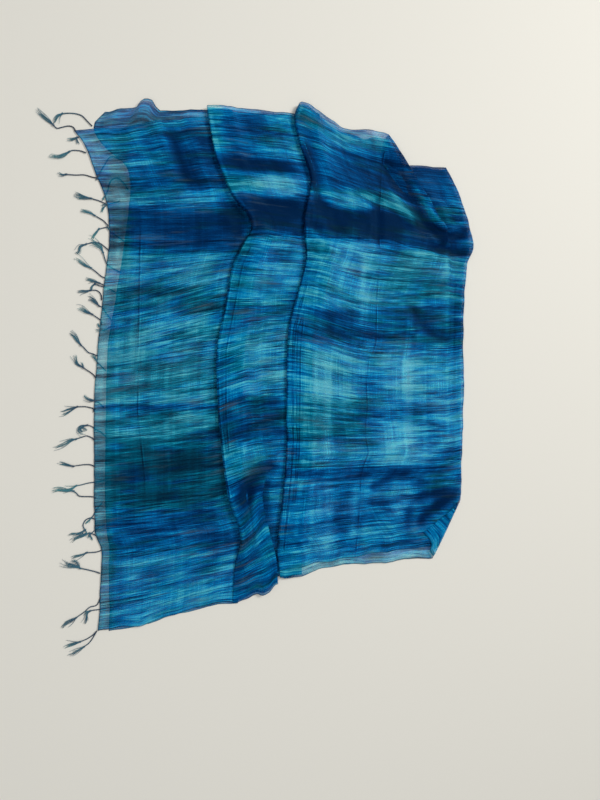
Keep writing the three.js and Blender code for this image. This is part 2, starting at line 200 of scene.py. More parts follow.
# %% [markdown]
# ## Where the tucks are
#
# Folds A and B face the front. Their tables run from left to right and say where the nose of the
# fold is, how high it stands and how deep the cloth runs back under it. The roll and the corner
# pleat face the back, and their tables run by the share of the way across the cloth. Where their
# depth is below nothing there is no tuck, and the rows of the grid lie one behind the other.

# %% Tucks and edges
UPPER_HEM = chart("x y", [
    (-427, -349), (-407, -336), (-350, -314), (-302, -298), (-241, -296), (-197, -302),
    (-127, -311), (-38, -321), (42, -328), (140, -331), (274, -332), (317, -322), (402, -327),
    (458, -331),
])
LOWER_HEM = chart("x y", [
    (-463, -298), (-439, -317), (-403, -301), (-374, -266), (-348, -258), (-297, -261),
    (-246, -269), (-153, -285), (-56, -302), (42, -308), (230, -314), (318, -309), (460, -312),
])
FOLD_A_ROWS = chart("x y high deep", [
    (-486, -122, 9, 42), (-454, -117, 8, 44), (-400, -107, 8, 46), (-357, -91, 10, 44),
    (-324, -76, 13, 40), (-298, -53, 16, 36), (-270, -44, 16, 36), (-243, -59, 12, 40),
    (-205, -79, 8, 44), (-122, -95, 7, 46), (-45, -111, 7, 46), (68, -110, 7, 42),
    (169, -102, 9, 30), (227, -94, 13, 20), (301, -73, 13, 18), (345, -81, 9, 16),
    (385, -86, 5, 10), (420, -88, 2.5, 5),
])
FOLD_B_ROWS = chart("x y high deep", [
    (-504, 50, 13, 40), (-480, 40, 11, 42), (-438, 48, 9, 44), (-366, 70, 10, 42),
    (-291, 57, 8, 44), (-217, 59, 7, 46), (-168, 47, 6, 46), (-95, 27, 6, 44), (-45, 21, 6, 46),
    (150, 17, 6, 48), (239, 8, 7, 48), (330, -3, 8, 44), (385, 2, 5, 40),
])
BACK_ROWS = chart("x y high", [
    (-410, 345, 6), (-371, 366, 7), (-332, 383, 8), (-298, 395, 10), (-248, 401, 16),
    (-215, 390, 10), (-86, 383, 8), (15, 383, 7), (200, 380, 4), (255, 381, 3), (365, 381, 3),
])
ROLL_ROWS = chart("across y high deep cover", [
    (0, -35, 0, -20, 0), (0.1, -20, 0, -20, 0), (0.25, 4, 0, -20, 0), (0.35, -15, 0, -20, 0),
    (0.5, -45, 0, -20, 0), (0.62, -43, 0, -20, 0), (0.69, -24, 0.5, -14, 0), (0.73, -6, 2, -5, 0),
    (0.752, -13, 4.5, 3, 3), (0.78, -24, 8.5, 10, 10), (0.81, -30, 11.5, 17, 17),
    (0.84, -29, 13, 20, 20), (0.877, -22, 12, 22, 22), (0.912, -14, 10, 24, 24),
    (0.951, -5, 7, 24, 24), (1, -2, 4, 24, 24),
])
PLEAT_ROWS = chart("across y high deep cover", [
    (0, 226, 6, 16, 34), (0.066, 277, 9, 20, 34), (0.125, 321, 10, 20, 30),
    (0.172, 341, 10, 16, 24), (0.209, 350, 8, 9, 14), (0.25, 352, 3, -4, 0), (0.3, 345, 0, -16, 0),
    (1, 335, 0, -16, 0),
])
tuck_rows = [len(rows) for rows in (FOLD_A_ROWS, FOLD_B_ROWS, ROLL_ROWS, PLEAT_ROWS)]
print("Two folds, a roll and a pleat, given by", tuck_rows, "rows")

# %% [markdown]
# ## The path of a thread
#
# Both halves of the scarf went into each tuck together, so in a tuck six layers lie on each
# other. `LAYERS` says how high each half lies on its first way back, on its return and on top.
# The lower half turns inside the upper one at every nose, and outside it at the back of a tuck.
#
# A path is a list of rows from the hem to the back fold. A row holds x, y and z of every thread,
# how open the cloth is to view there, and which stretch it belongs to.

# %% Heights of the layers
NOSE_ROUND = 0.45  # length of a nose over its height
SETTLE = 16  # length over which cloth comes down off the end of a tuck
MADE_DEEP = 12  # a fold that faces the back is fully made where its tuck is this deep
HEAP = 3.9  # height at which the noses of the solids start
PRESSED_DOWN = 2.5  # the thin cloth lies this much lower than the noses of the solids
LEAST_NOSE = 1.6
HUMP = 10  # the cloth lies higher for this far behind a nose, and for twice the nose's height
FLAT_STEP = 1.7  # distance between the rows of a tuck that isn't made
FLAT_HALF = 8  # those rows take this much room before the line of its nose
OPENING = 22  # length over which cloth that runs in under a fold goes out of view
PEEK = 2  # how far in under the fold it is still open to view
GRID_ROWS = dict(front=54, under=8, middle=20, tucked=24, back=62, last=10)
WANDER = chart("far length seed", [(1.4, 34, 0), (0.6, 12, 7)])
LAYERS = dict(
    upper=dict(first=1.3, second=2.1, open=1.5, top=4.7, inset=0.0, less=1.8),
    lower=dict(first=0.5, second=2.9, open=0.5, top=3.7, inset=1.0, less=0.8),
)


def wander(x, seed):
    """No fold or edge of soft cloth is quite smooth: how far it strays, across its length."""
    return sum(w["far"] * soft_noise(x, x * 0, w["length"], seed + w["seed"]) for w in WANDER)


print("In a tuck the cloth is", LAYERS["upper"]["top"], "mm high before its nose is added")

# %% Path of a thread
class Path:
    """The rows of one half of the cloth, from its hem to the back fold."""

    def __init__(self, half, across, edges, fine):
        self.layer = LAYERS[half]
        self.across = across
        self.fine = fine
        self.x_at = thread_lines(across, edges)
        self.rows = []

    def add(self, place, y, z, show, stretch):
        x = self.x_at(place)
        values = [np.asarray(value, float) for value in (x, y, z, show, stretch)]
        self.rows.append([np.broadcast_to(value, self.across.shape) for value in values])

    def front_fold(self, table, place):
        """A fold that faces the front, read at each thread's own place on it."""
        x = self.x_at(place)
        fold = {name: curve(table, "x", name)(x) for name in ("y", "high", "deep")}
        fold["high"] = np.maximum(fold["high"] - PRESSED_DOWN, LEAST_NOSE)
        fold["y"] = fold["y"] + self.layer["inset"] + wander(x, table[0]["y"])
        fold["cover"] = fold["deep"]
        return fold

    def back_fold(self, table):
        """A fold that faces the back, read by the share of the way across."""
        columns = ("y", "high", "deep", "cover")
        fold = {name: curve(table, "across", name)(self.across) for name in columns}
        fold["made"] = ease(fold["deep"] / MADE_DEEP)
        fold["y"] = fold["y"] - self.layer["inset"] * fold["made"]
        return fold

    def over(self, fold, distance):
        """Height of the cloth at a distance behind the nose of a tuck."""
        layer = self.layer
        layers = (layer["top"] - layer["open"]) * ease((fold["cover"] + SETTLE - distance) / SETTLE)
        reach = HUMP + 2 * fold["high"]
        hump = np.maximum(fold["high"] - layer["less"], 0) * np.exp(-((distance / reach) ** 2))
        return layers + hump

    def even(self, name):
        """Evenly spaced shares of a run, leaving out its two ends."""
        return np.linspace(0, 1, int(GRID_ROWS[name] * self.fine) + 2)[1:-1]

    def reached(self, place):
        """Where the last row lies."""
        return dict(y=self.rows[-1][1], at=place)

    def end_under(self, fold, place):
        """Where the cloth ends under a fold that faces the front."""
        return dict(y=fold["y"] + fold["deep"] + (1 + self.layer["inset"]), at=place)

    def crest(self, fold, place):
        """The top of the nose of a fold that faces the front."""
        return dict(y=fold["y"] + fold["high"] * NOSE_ROUND, at=place)

    def before(self, fold, place):
        """Where the cloth starts to go over a fold that faces the back."""
        length = mix(FLAT_HALF, fold["high"] * NOSE_ROUND, fold["made"])
        return dict(y=fold["y"] - length, at=place)

    def run(self, start, end, shares, height, show, stretch):
        """Rows between two places, at shares of the way. The height and how open the cloth is
        to view are numbers, or functions of y."""
        for share in shares:
            y = mix(start["y"], end["y"], share)
            place = mix(start["at"], end["at"], share)
            z = height(y) if callable(height) else height
            shown = show(y) if callable(show) else show
            self.add(place, y, z, shown, stretch)

    def tuck_end(self, y, place, stretch):
        """The small bend at the back of a tuck that faces the front."""
        low, high = self.layer["first"], self.layer["second"]
        radius = (high - low) / 2
        for angle in np.radians([-60, -20, 20, 60]):
            z = (low + high) / 2 + radius * math.sin(angle)
            self.add(place, y + radius * math.cos(angle), z, 0, stretch)

    def front_nose(self, fold, place, stretch, facets=11):
        """Round the nose of a fold that faces the front, from below to above."""
        low = self.layer["second"]
        top = HEAP + fold["high"] - self.layer["inset"]
        half = (top - low) / 2
        length = fold["high"] * NOSE_ROUND
        for i in range(facets):
            angle = math.pi * (i + 0.5) / facets
            y = fold["y"] + length * (1 - math.sin(angle))
            z = low + half * (1 - math.cos(angle))
            self.add(place, y, z, ease(i / facets * 2), stretch)

    def back_nose(self, fold, place, under, stretch, facets=9):
        """Round the nose of a fold that faces the back, and forward under it to its inner end.
        Where the fold isn't made, the same rows lie flat, one behind the other."""
        layer = self.layer
        open_height = layer["open"]
        top = HEAP + fold["high"] - layer["inset"]
        half = (top - layer["second"]) / 2
        length = fold["high"] * NOSE_ROUND
        made = fold["made"]
        for i in range(facets):
            angle = math.pi * (i + 0.5) / facets
            y = fold["y"] - length * (1 - math.sin(angle))
            z = layer["second"] + half * (1 + math.cos(angle))
            flat_y = fold["y"] + FLAT_STEP * (i - (facets - 1) / 2)
            show = mix(1, ease(2 - 2 * i / facets), made)
            self.add(place, mix(flat_y, y, made), mix(open_height, z, made), show, stretch)
        start = self.rows[-1][1]
        inner = fold["y"] - fold["deep"]
        for share in (0.2, 0.4, 0.6, 0.8, 0.94):
            z = mix(open_height, layer["second"], made)
            self.add(mix(place, under, share), mix(start, inner, share), z, 1 - made, stretch)
        middle = (layer["first"] + layer["second"]) / 2
        radius = (layer["second"] - layer["first"]) / 2
        for i, angle in enumerate(np.radians([55, 0, -55])):
            y = inner - made * radius * math.cos(angle) + (1 - made) * FLAT_STEP * (i + 0.3)
            z = mix(open_height, middle + radius * math.sin(angle), made)
            self.add(under, y, z, 1 - made, stretch)


# %% [markdown]
# ## From the hem to the back fold
#
# Now the rows are laid along the whole path, stretch by stretch. The front stretch runs from the
# hem in under fold A. The middle one comes out over the nose of fold A, goes over the roll and in
# under fold B. The back one comes out over the nose of fold B and goes over the corner pleat to
# the back fold, where the upper half goes round and meets the lower one.

# %% The front stretch
def front_stretch(path, hem_y, fold_a):
    """From the hem in under fold A."""
    first, open_height = path.layer["first"], path.layer["open"]

    def in_view(y):
        return ease((fold_a["y"] - y + PEEK) / OPENING)

    def height(y):
        return mix(first, open_height, in_view(y))

    end = path.end_under(fold_a, UNDER_A)
    path.run(dict(y=hem_y, at=HEM), end, [0, *path.even("front"), 1], height, in_view, 0)
    path.tuck_end(end["y"], UNDER_A, 0)


print(GRID_ROWS["front"], "rows from the hem in under fold A")

# %% The middle stretch
OUT_OF_ROLL = 20  # length over which cloth that comes out from under the roll comes into view


def middle_stretch(path, fold_a, roll, fold_b):
    """Out from under fold A, over its nose and the roll, and in under fold B."""
    first, second, open_height = (path.layer[name] for name in ("first", "second", "open"))
    crest = path.crest(fold_a, FOLD_A)
    before = path.before(roll, ROLL)

    def over_fold_a(y):
        """How far fold A lifts the cloth where there is no roll."""
        return (1 - roll["made"]) * path.over(fold_a, y - fold_a["y"])

    def middle_height(y):
        share = (y - crest["y"]) / (before["y"] - crest["y"])
        behind = path.over(fold_a, y - fold_a["y"])
        ahead = roll["made"] * path.over(roll, roll["y"] - y)
        puff = roll["made"] * roll["high"] * 0.5 * np.sin(np.pi * np.clip(share, 0, 1))
        return open_height + np.maximum(behind, ahead) + puff

    def in_view(y):
        past_roll = ease((y - roll["y"]) / OUT_OF_ROLL)
        return ease((fold_b["y"] - y + PEEK) / OPENING) * mix(1, past_roll, roll["made"])

    def settle(y):
        return mix(first, open_height, in_view(y)) + over_fold_a(y)

    path.run(path.end_under(fold_a, UNDER_A), crest, path.even("under"), second, 0, 1)
    path.front_nose(fold_a, FOLD_A, 1)
    path.run(crest, before, path.even("middle"), middle_height, 1, 1)
    turned = len(path.rows)
    path.back_nose(roll, ROLL, UNDER_ROLL, 1)
    for row in path.rows[turned:]:
        lifted = open_height + over_fold_a(row[1])
        row[2] = np.maximum(row[2], mix(lifted, row[2], roll["made"]))
    end = path.end_under(fold_b, UNDER_B)
    path.run(path.reached(UNDER_ROLL), end, [*path.even("tucked"), 1], settle, in_view, 1)
    path.tuck_end(end["y"], UNDER_B, 1)


print(GRID_ROWS["middle"], "rows before the roll and", GRID_ROWS["tucked"], "behind it")

# %% The back stretch
def back_stretch(path, fold_b, pleat):
    """Out from under fold B, over its nose and over the corner pleat."""
    second, open_height = path.layer["second"], path.layer["open"]
    crest = path.crest(fold_b, FOLD_B)

    def back_height(y):
        behind = path.over(fold_b, y - fold_b["y"])
        ahead = pleat["made"] * path.over(pleat, pleat["y"] - y)
        return open_height + np.maximum(behind, ahead)

    path.run(path.end_under(fold_b, UNDER_B), crest, path.even("under"), second, 0, 2)
    path.front_nose(fold_b, FOLD_B, 2)
    path.run(crest, path.before(pleat, PLEAT), path.even("back"), back_height, 1, 2)
    path.back_nose(pleat, PLEAT, UNDER_PLEAT, 2)


print(GRID_ROWS["back"], "rows from fold B to the corner pleat")

# %% Round the back fold
BACK_LOW = 0.5  # height of the lower side of the back fold
BACK_LEAST = 2.1  # least height of its upper side
BACK_LESS = 1.6  # the thin cloth is this much lower there than the solids
BACK_RISE = 16  # length over which the cloth rises to it
OUT_OF_PLEAT = 8  # length over which cloth that comes out from under the pleat comes into view


def round_the_back(path, pleat, upper):
    """On to the back fold. The upper half also goes round it, down to the lower one."""
    layer = path.layer
    x = path.x_at(BACK)
    edge_y = curve(BACK_ROWS, "x", "y")(x) - layer["inset"] * 0.2 + wander(x, 4.6)
    high = curve(BACK_ROWS, "x", "high")(x)
    top = np.maximum(high - BACK_LESS, BACK_LEAST) - layer["inset"]
    bend = high * NOSE_ROUND
    lift = np.maximum(top - layer["open"], 0)

    def rise(y):
        return layer["open"] + lift * np.exp(-(((edge_y - bend - y) / BACK_RISE) ** 2))

    def in_view(y):
        return mix(1, ease((y - pleat["y"]) / OUT_OF_PLEAT), pleat["made"])

    start = path.reached(UNDER_PLEAT)
    shares = [*path.even("last"), 1]
    if not upper:
        path.run(start, dict(y=edge_y - bend * 0.25, at=BACK), shares, BACK_LOW, 1, 2)
        return
    path.run(start, dict(y=edge_y - bend, at=BACK), shares, rise, in_view, 2)
    for angle in np.radians([68, 45, 22, 0, -22, -45, -68]):
        z = BACK_LOW + (top - BACK_LOW) / 2 * (1 + math.sin(angle))
        path.add(BACK, edge_y - bend + bend * math.cos(angle), z, math.cos(angle), 2)


print(GRID_ROWS["last"], "rows up to the back fold")

# %% Lay the rows
def lay_rows(half, thread_count, edges, hem_table, fine):
    """All the rows of one half. `fine` is the share of rows that it gets."""
    path = Path(half, np.linspace(0, 1, thread_count), edges, fine)
    hem_x = path.x_at(HEM)
    hem_y = curve(hem_table, "x", "y")(hem_x) + wander(hem_x, 8.3)
    fold_a = path.front_fold(FOLD_A_ROWS, FOLD_A)
    fold_b = path.front_fold(FOLD_B_ROWS, FOLD_B)
    roll = path.back_fold(ROLL_ROWS)
    pleat = path.back_fold(PLEAT_ROWS)
    front_stretch(path, hem_y, fold_a)
    middle_stretch(path, fold_a, roll, fold_b)
    back_stretch(path, fold_b, pleat)
    round_the_back(path, pleat, half == "upper")
    return np.array(path.rows)  # rows, (x y z show stretch), threads


upper_rows = lay_rows("upper", 184, None, UPPER_HEM, 1.0)
lower_rows = lay_rows("lower", 120, LOWER_EDGES, LOWER_HEM, 0.6)
print("Upper half", upper_rows.shape, "and lower half", lower_rows.shape)

# %% [markdown]
# ## Creases and soft buckles
#
# The cloth has soft troughs and ridges where it was pushed together. Each is a short line with a
# width and a height, and a height below nothing makes a trough. They fade out inside the tucks,
# where nobody sees them.

# %% Creases
# stretch, width and height of a crease, and the points of its line, in millimetres
CREASES = chart("stretch wide high line", [
    # the front stretch
    (0, 11, 3.6, [(-470, -214), (-415, -203), (-379, -190), (-343, -177)]),
    (0, 13, -5, [(-450, -190), (-389, -173), (-361, -159), (-330, -120)]),
    (0, 12, 3, [(-440, -150), (-390, -138), (-350, -118)]),
    (0, 9, -9, [(-334, -100), (-303, -76), (-276, -64), (-246, -72)]),
    (0, 16, 3.6, [(-260, -85), (-225, -120), (-150, -175)]),
    (0, 6, -2.6, [(-204, -84), (-183, -120), (-167, -157), (-140, -200)]),
    (0, 6, -2.6, [(-178, -88), (-151, -120), (-136, -163), (-110, -215)]),
    (0, 12, 2.4, [(-455, -255), (-400, -245), (-330, -262)]),
    (0, 8, 2.4, [(-316, -100), (-312, -200), (-300, -292)]),
    (0, 10, -2.4, [(-346, -190), (-338, -240), (-336, -290)]),
    (0, 18, 2.4, [(-90, -130), (-70, -220), (-60, -300)]),
    (0, 16, 2.6, [(60, -130), (75, -220), (95, -300)]),
    (0, 16, -2.6, [(150, -120), (170, -220), (190, -310)]),
    (0, 18, 3, [(250, -100), (300, -190), (335, -310)]),
    (0, 10, -3, [(330, -95), (372, -170), (400, -300)]),
    (0, 9, 2.6, [(372, -100), (405, -190), (430, -320)]),
    # the middle stretch
    (1, 10, -3, [(-392, -95), (-388, 0), (-385, 55)]),
    (1, 12, 4, [(-352, -80), (-354, 0), (-350, 60)]),
    (1, 13, -4.5, [(-310, -50), (-312, 0), (-300, 55)]),
    (1, 12, 3.4, [(-265, -35), (-268, 10), (-262, 50)]),
    (1, 14, -2.4, [(-220, -60), (-215, -20), (-222, 40)]),
    (1, 18, 3, [(-180, -60), (-120, -30), (-90, 15)]),
    (1, 12, -2.6, [(-30, -95), (10, -50), (20, 5)]),
    (1, 12, 2.6, [(60, -95), (80, -50), (70, 5)]),
    (1, 14, -10, [(166, 10), (176, -22), (188, -46), (214, -61), (252, -74)]),
    (1, 9, 3.5, [(205, -34), (232, -46), (275, -50), (330, -42)]),
    (1, 11, 3, [(120, -90), (150, -50), (158, 0)]),
    # the back stretch, left
    (2, 9, 2.6, [(-478, 82), (-434, 92), (-396, 102), (-362, 118)]),
    (2, 10, -10, [(-463, 61), (-399, 68), (-360, 77), (-326, 86), (-292, 112), (-262, 145)]),
    (2, 5, 2.8, [(-278, 60), (-246, 92), (-229, 122), (-222, 162)]),
    (2, 6, -4, [(-292, 60), (-262, 95), (-250, 140), (-256, 186)]),
    (2, 5, -3, [(-262, 60), (-228, 82), (-205, 115), (-192, 150)]),
    (2, 9, 2.4, [(-470, 85), (-452, 120), (-452, 200)]),
    (2, 9, -3, [(-425, 120), (-412, 160), (-410, 205)]),
    (2, 18, 3.5, [(-352, 130), (-330, 160), (-326, 196)]),
    (2, 8, -6.5, [(-352, 207), (-316, 203), (-262, 203), (-240, 210)]),
    (2, 14, -3, [(-300, 120), (-288, 160), (-284, 195)]),
    (2, 14, -10, [(-412, 204), (-386, 234), (-363, 252), (-339, 270), (-322, 285), (-296, 304),
     (-276, 326)]),
    (2, 9, -9.5, [(-302, 300), (-277, 325), (-269, 355), (-276, 383), (-299, 397)]),
    (2, 12, 3, [(-352, 222), (-333, 243), (-308, 266), (-284, 290)]),
    (2, 7, 5.5, [(-366, 272), (-346, 284), (-328, 297), (-311, 310), (-297, 321), (-286, 337),
     (-283, 356), (-294, 378)]),
    (2, 6, -6, [(-338, 312), (-322, 322), (-305, 333), (-297, 349), (-306, 368), (-322, 385)]),
    (2, 10, -6, [(-254, 318), (-244, 338), (-236, 362), (-236, 394)]),
    (2, 6, 4, [(-282, 306), (-262, 322), (-246, 330)]),
    (2, 8, 3.5, [(-392, 344), (-352, 350), (-318, 372)]),
    (2, 14, 3, [(-222, 250), (-210, 310), (-206, 370)]),
    # the back stretch, middle and right
    (2, 8, -6, [(-146, 250), (-125, 278), (-92, 298), (-70, 330), (-66, 372)]),
    (2, 8, 3, [(-118, 250), (-90, 272), (-60, 290)]),
    (2, 14, 2.6, [(-185, 370), (-170, 280), (-160, 160), (-190, 80)]),
    (2, 7, -4.5, [(-96, 90), (-72, 133), (-56, 152), (-49, 188)]),
    (2, 14, -2.4, [(-120, 200), (-112, 110), (-118, 50)]),
    (2, 16, 2.6, [(20, 370), (30, 260), (20, 200)]),
    (2, 14, 2.6, [(30, 160), (20, 120), (35, 50)]),
    (2, 12, -2.4, [(85, 370), (78, 250), (95, 120), (85, 50)]),
    (2, 9, 5, [(138, 382), (137, 350), (156, 320), (172, 290)]),
    (2, 8, -7, [(232, 180), (214, 205), (203, 240), (200, 275)]),
    (2, 9, 5, [(245, 205), (228, 240), (222, 275)]),
    (2, 9, -8, [(335, 262), (262, 268), (244, 300), (240, 345), (238, 382)]),
    (2, 9, 5, [(215, 290), (212, 330), (212, 378)]),
    (2, 10, -10, [(318, 280), (288, 300), (262, 336), (246, 380)]),
    (2, 12, 4.5, [(260, 240), (300, 225), (345, 222)]),
    (2, 12, -4, [(200, 150), (270, 120), (345, 128)]),
    (2, 13, 3, [(215, 90), (290, 70), (355, 92)]),
    (2, 7, 2.4, [(268, 180), (300, 168), (350, 176)]),
])
print(len(CREASES), "creases")

# %% Lift the cloth
CREASE_DEPTH = 1.3  # what the heights of the creases are multiplied by
FADE = 5  # a crease fades in over a fifth of its length, and out over the last fifth
UNEVEN = 45  # length over which a crease grows deeper and shallower
GROUND = chart("high size squeeze seed", [(2.4, 75, 1, 40.5), (1.6, 24, 0.45, 41.5)])
ROOM = 4.0  # how far above its lowest the open cloth lies, so that troughs have room
AT_NOSE, AT_HEM, AT_SIDE = 0.3, 0.15, 0.35  # the share of that room which is left there
FLAT_HEIGHT = 2.3  # height of the upper half where it is pressed flat
RIGHT_END = 290  # from here to the right edge fold A lies flatter
FLATTENED = 0.42  # the share of its height that it loses at the edge


def near_line(x, y, line):
    """Distance from points to a broken line, and how far along it they are, from 0 to 1."""
    best = np.full(x.shape, 1e9)
    along = np.zeros(x.shape)
    lengths = [math.dist(a, b) for a, b in zip(line, line[1:])]
    total = sum(lengths)
    done = 0
    for (ax, ay), (bx, by), length in zip(line, line[1:], lengths):
        raw = ((x - ax) * (bx - ax) + (y - ay) * (by - ay)) / length**2
        t = np.clip(raw, 0, 1)
        distance = np.hypot(x - mix(ax, bx, t), y - mix(ay, by, t))
        closer = distance < best
        best = np.where(closer, distance, best)
        along = np.where(closer, (done + t * length) / total, along)
        done += length
    return best, along


def behind_nose(rows, fold_rows):
    """How far behind the nose of a fold each point lies."""
    return rows[:, 1] - curve(fold_rows, "x", "y")(rows[:, 0])


def crease(rows):
    """Lift the rows by the creases, and give back how far, below nothing in a trough."""
    x, y, z, show, stretch = (rows[:, i] for i in range(5))
    lift = np.zeros_like(z)
    for number, mark in enumerate(CREASES):
        distance, along = near_line(x, y, mark["line"])
        ends = ease(along * FADE) * ease((1 - along) * FADE)
        uneven = 0.75 + 0.5 * soft_noise(x, y, UNEVEN, number)
        shape = np.exp(-((distance / mark["wide"]) ** 2))
        lift += mark["high"] * shape * ends * uneven * (stretch == mark["stretch"])
    relief = CREASE_DEPTH * lift
    for ground in GROUND:
        swell = soft_noise(x, y * ground["squeeze"], ground["size"], ground["seed"])
        relief = relief + ground["high"] * swell
    from_a, from_b = (np.abs(behind_nose(rows, fold)) for fold in (FOLD_A_ROWS, FOLD_B_ROWS))
    room = ROOM * mix(AT_NOSE, 1, ease(np.minimum(from_a, from_b) / 30))
    trough = room * (1 + np.tanh(relief / room))
    ridge = room + relief * mix(0.5, 1, room / ROOM)
    rows[:, 2] += np.where(relief < 0, trough, ridge) * show * hem_down(rows)
    return relief * show


def hem_down(rows):
    """The cloth comes down at its hem and at its two edges."""
    x, y = rows[:, 0], rows[:, 1]
    from_hem = np.abs(y - y[0])
    from_side = np.minimum(x - x[:, :1], x[:, -1:] - x)
    return mix(AT_HEM, 1, ease(from_hem / 30)) * mix(AT_SIDE, 1, ease(from_side / 16))


def press_right_end(rows):
    """At the right edge fold A lies flatter, all its layers by the same share."""
    near_fold = np.exp(-((behind_nose(rows, FOLD_A_ROWS) / 40) ** 2))
    rows[:, 2] *= 1 - FLATTENED * near_fold * ease((rows[:, 0] - RIGHT_END) / 90)
    return rows


def lay_hem_strip(rows):
    """In front of the lower half's hem the upper half lies on the table."""
    x, y, z, _, stretch = (rows[:, i] for i in range(5))
    on_lower = ease((y - curve(LOWER_HEM, "x", "y")(x) + 9) / 10)
    rows[:, 2] = np.where(stretch == 0, mix(np.minimum(z, FLAT_HEIGHT), z, on_lower), z)
    return rows


# this relief is later painted into the colour: painted shade in hollows, painted light on ridges
upper_relief = crease(upper_rows)
upper_rows = press_right_end(lay_hem_strip(upper_rows))
lower_rows = press_right_end(lower_rows)
print("The highest point is at", round(float(upper_rows[:, 2].max()), 1), "mm")

# %% [markdown]
# ## The turned corner
#
# At the back right both halves are turned over a slanting line. Rather than model a flap, we bend
# space: everything past the line goes round a small cylinder and comes back on top. The layers
# keep their order, so the lower half ends up on top of the flap, as it does in the hand.

# %% Turn the corner over
HINGE_FROM = np.array([252, 382])
HINGE_TO = np.array([361, 326])
BEND_HEIGHT = 4.2  # height of the middle of the bend
FLAP_HEIGHT = 3.7  # height of the mirror plane where the flap has settled
FLAT_BEFORE, FLAT_LENGTH = 14, 12  # before the hinge the cloth goes flat, over this length
FLAP_SETTLE = 25  # length over which the flap comes down
print("The hinge is", round(float(np.linalg.norm(HINGE_TO - HINGE_FROM))), "mm long")


def turn_corner(rows):
    """Turn what lies past the hinge over, and give back how far past it each point was."""
    direction = (HINGE_TO - HINGE_FROM) / np.linalg.norm(HINGE_TO - HINGE_FROM)
    normal = np.array([-direction[1], direction[0]])
    x, y, z = rows[:, 0], rows[:, 1], rows[:, 2]
    past = (x - HINGE_FROM[0]) * normal[0] + (y - HINGE_FROM[1]) * normal[1]
    start = -BEND_HEIGHT
    flat = ease((past - start + FLAT_BEFORE) / FLAT_LENGTH)
    z = mix(z, np.minimum(z, FLAT_HEIGHT), flat)
    arc = math.pi * BEND_HEIGHT
    t = past - start
    angle = np.clip(t, 0, arc) / BEND_HEIGHT
    radius = BEND_HEIGHT - z
    beyond = np.maximum(t - arc, 0)
    place = np.where(t > 0, start + radius * np.sin(angle) - beyond, past)
    mirror = mix(BEND_HEIGHT, FLAP_HEIGHT, ease(beyond / FLAP_SETTLE))
    height = np.where(t > 0, mirror - (mirror - z) * np.cos(angle), z)
    move = place - past
    rows[:, 0] = x + normal[0] * move
    rows[:, 1] = y + normal[1] * move
    rows[:, 2] = height
    return past


# %% [markdown]
# ## Edges that wave
#
# The loom's own edge is a little tighter than the cloth beside it, so it never lies straight. A
# smooth noise moves each edge in and out and lifts it here and there. At a few places the edge
# does more: near the front left it stands up in a small roll.

# %% Waves and bumps along the edges
EDGE_REACH = 26  # how far from its edge the cloth still moves with it
EDGE_WAVES = chart("length out up", [(34, 3.4, 1.2), (13, 1.2, 0.5)])
LEFT, RIGHT = -1, 1
UPPER_BUMPS = chart("side y wide out up", [
    (RIGHT, -250, 30, 3, 1), (LEFT, -215, 16, 2, 3), (RIGHT, -54, 42, 5, 0.3),
    (RIGHT, -25, 13, 8, 0.5),
])
LOWER_BUMPS = chart("side y wide out up", [
    (LEFT, -226, 15, 17, 7), (LEFT, -262, 22, 5, 1.5), (RIGHT, 205, 40, 3, 2),
    (RIGHT, -54, 42, 5, 0.1), (RIGHT, -25, 13, 8, 0.2), (RIGHT, 32, 32, 8, 0.2),
    (LEFT, 208, 20, 6, 0.3),
])


def wave_edges(rows, bumps, seed):
    """Move both edges in and out, with the cloth near them."""
    x, y = rows[:, 0], rows[:, 1]
    for side, edge in ((LEFT, 0), (RIGHT, -1)):
        edge_y = y[:, [edge]]
        near = np.exp(-(((x - x[:, [edge]]) / EDGE_REACH) ** 2))
        out = np.zeros_like(edge_y)
        up = np.zeros_like(edge_y)
        for number, wave in enumerate(EDGE_WAVES):
            swing = soft_noise(edge_y, edge_y * 0, wave["length"], seed + side + 9 * number)
            out += wave["out"] * swing
            up += wave["up"] * (np.abs(swing) + 0.2)
        for bump in bumps:
            if bump["side"] == side:
                shape = np.exp(-(((edge_y - bump["y"]) / bump["wide"]) ** 4))
                out += bump["out"] * shape
                up += bump["up"] * shape
        rows[:, 0] += side * out * near
        rows[:, 2] += up * near
    return rows


upper_rows = wave_edges(upper_rows, UPPER_BUMPS, 3.5)
lower_rows = wave_edges(lower_rows, LOWER_BUMPS, 60.5)
print(len(UPPER_BUMPS) + len(LOWER_BUMPS), "bumps along the edges")

# %% [markdown]
# ## Pressed lines
#
# Silk keeps every line it was ironed or stored in. These lines are far narrower than the spaces
# of our grid, so the grid can't hold their shape. It can hold the distance to the line, because
# a distance changes evenly from one point to the next. So each point gets its distance to the
# nearest line, with a sign for its side, and from that the shader paints the crease's shade and
# highlight into the colour: a fine dark line of painted shade, a painted highlight beside it and
# a broad band of painted shade round it.

# %% Pressed lines and pale wefts, for painted shade and highlights
def beside_nose(fold_rows, behind, start, end):
    """A line that runs a little behind the nose of a fold."""
    return [(row["x"], row["y"] + behind) for row in fold_rows if start < row["x"] < end]


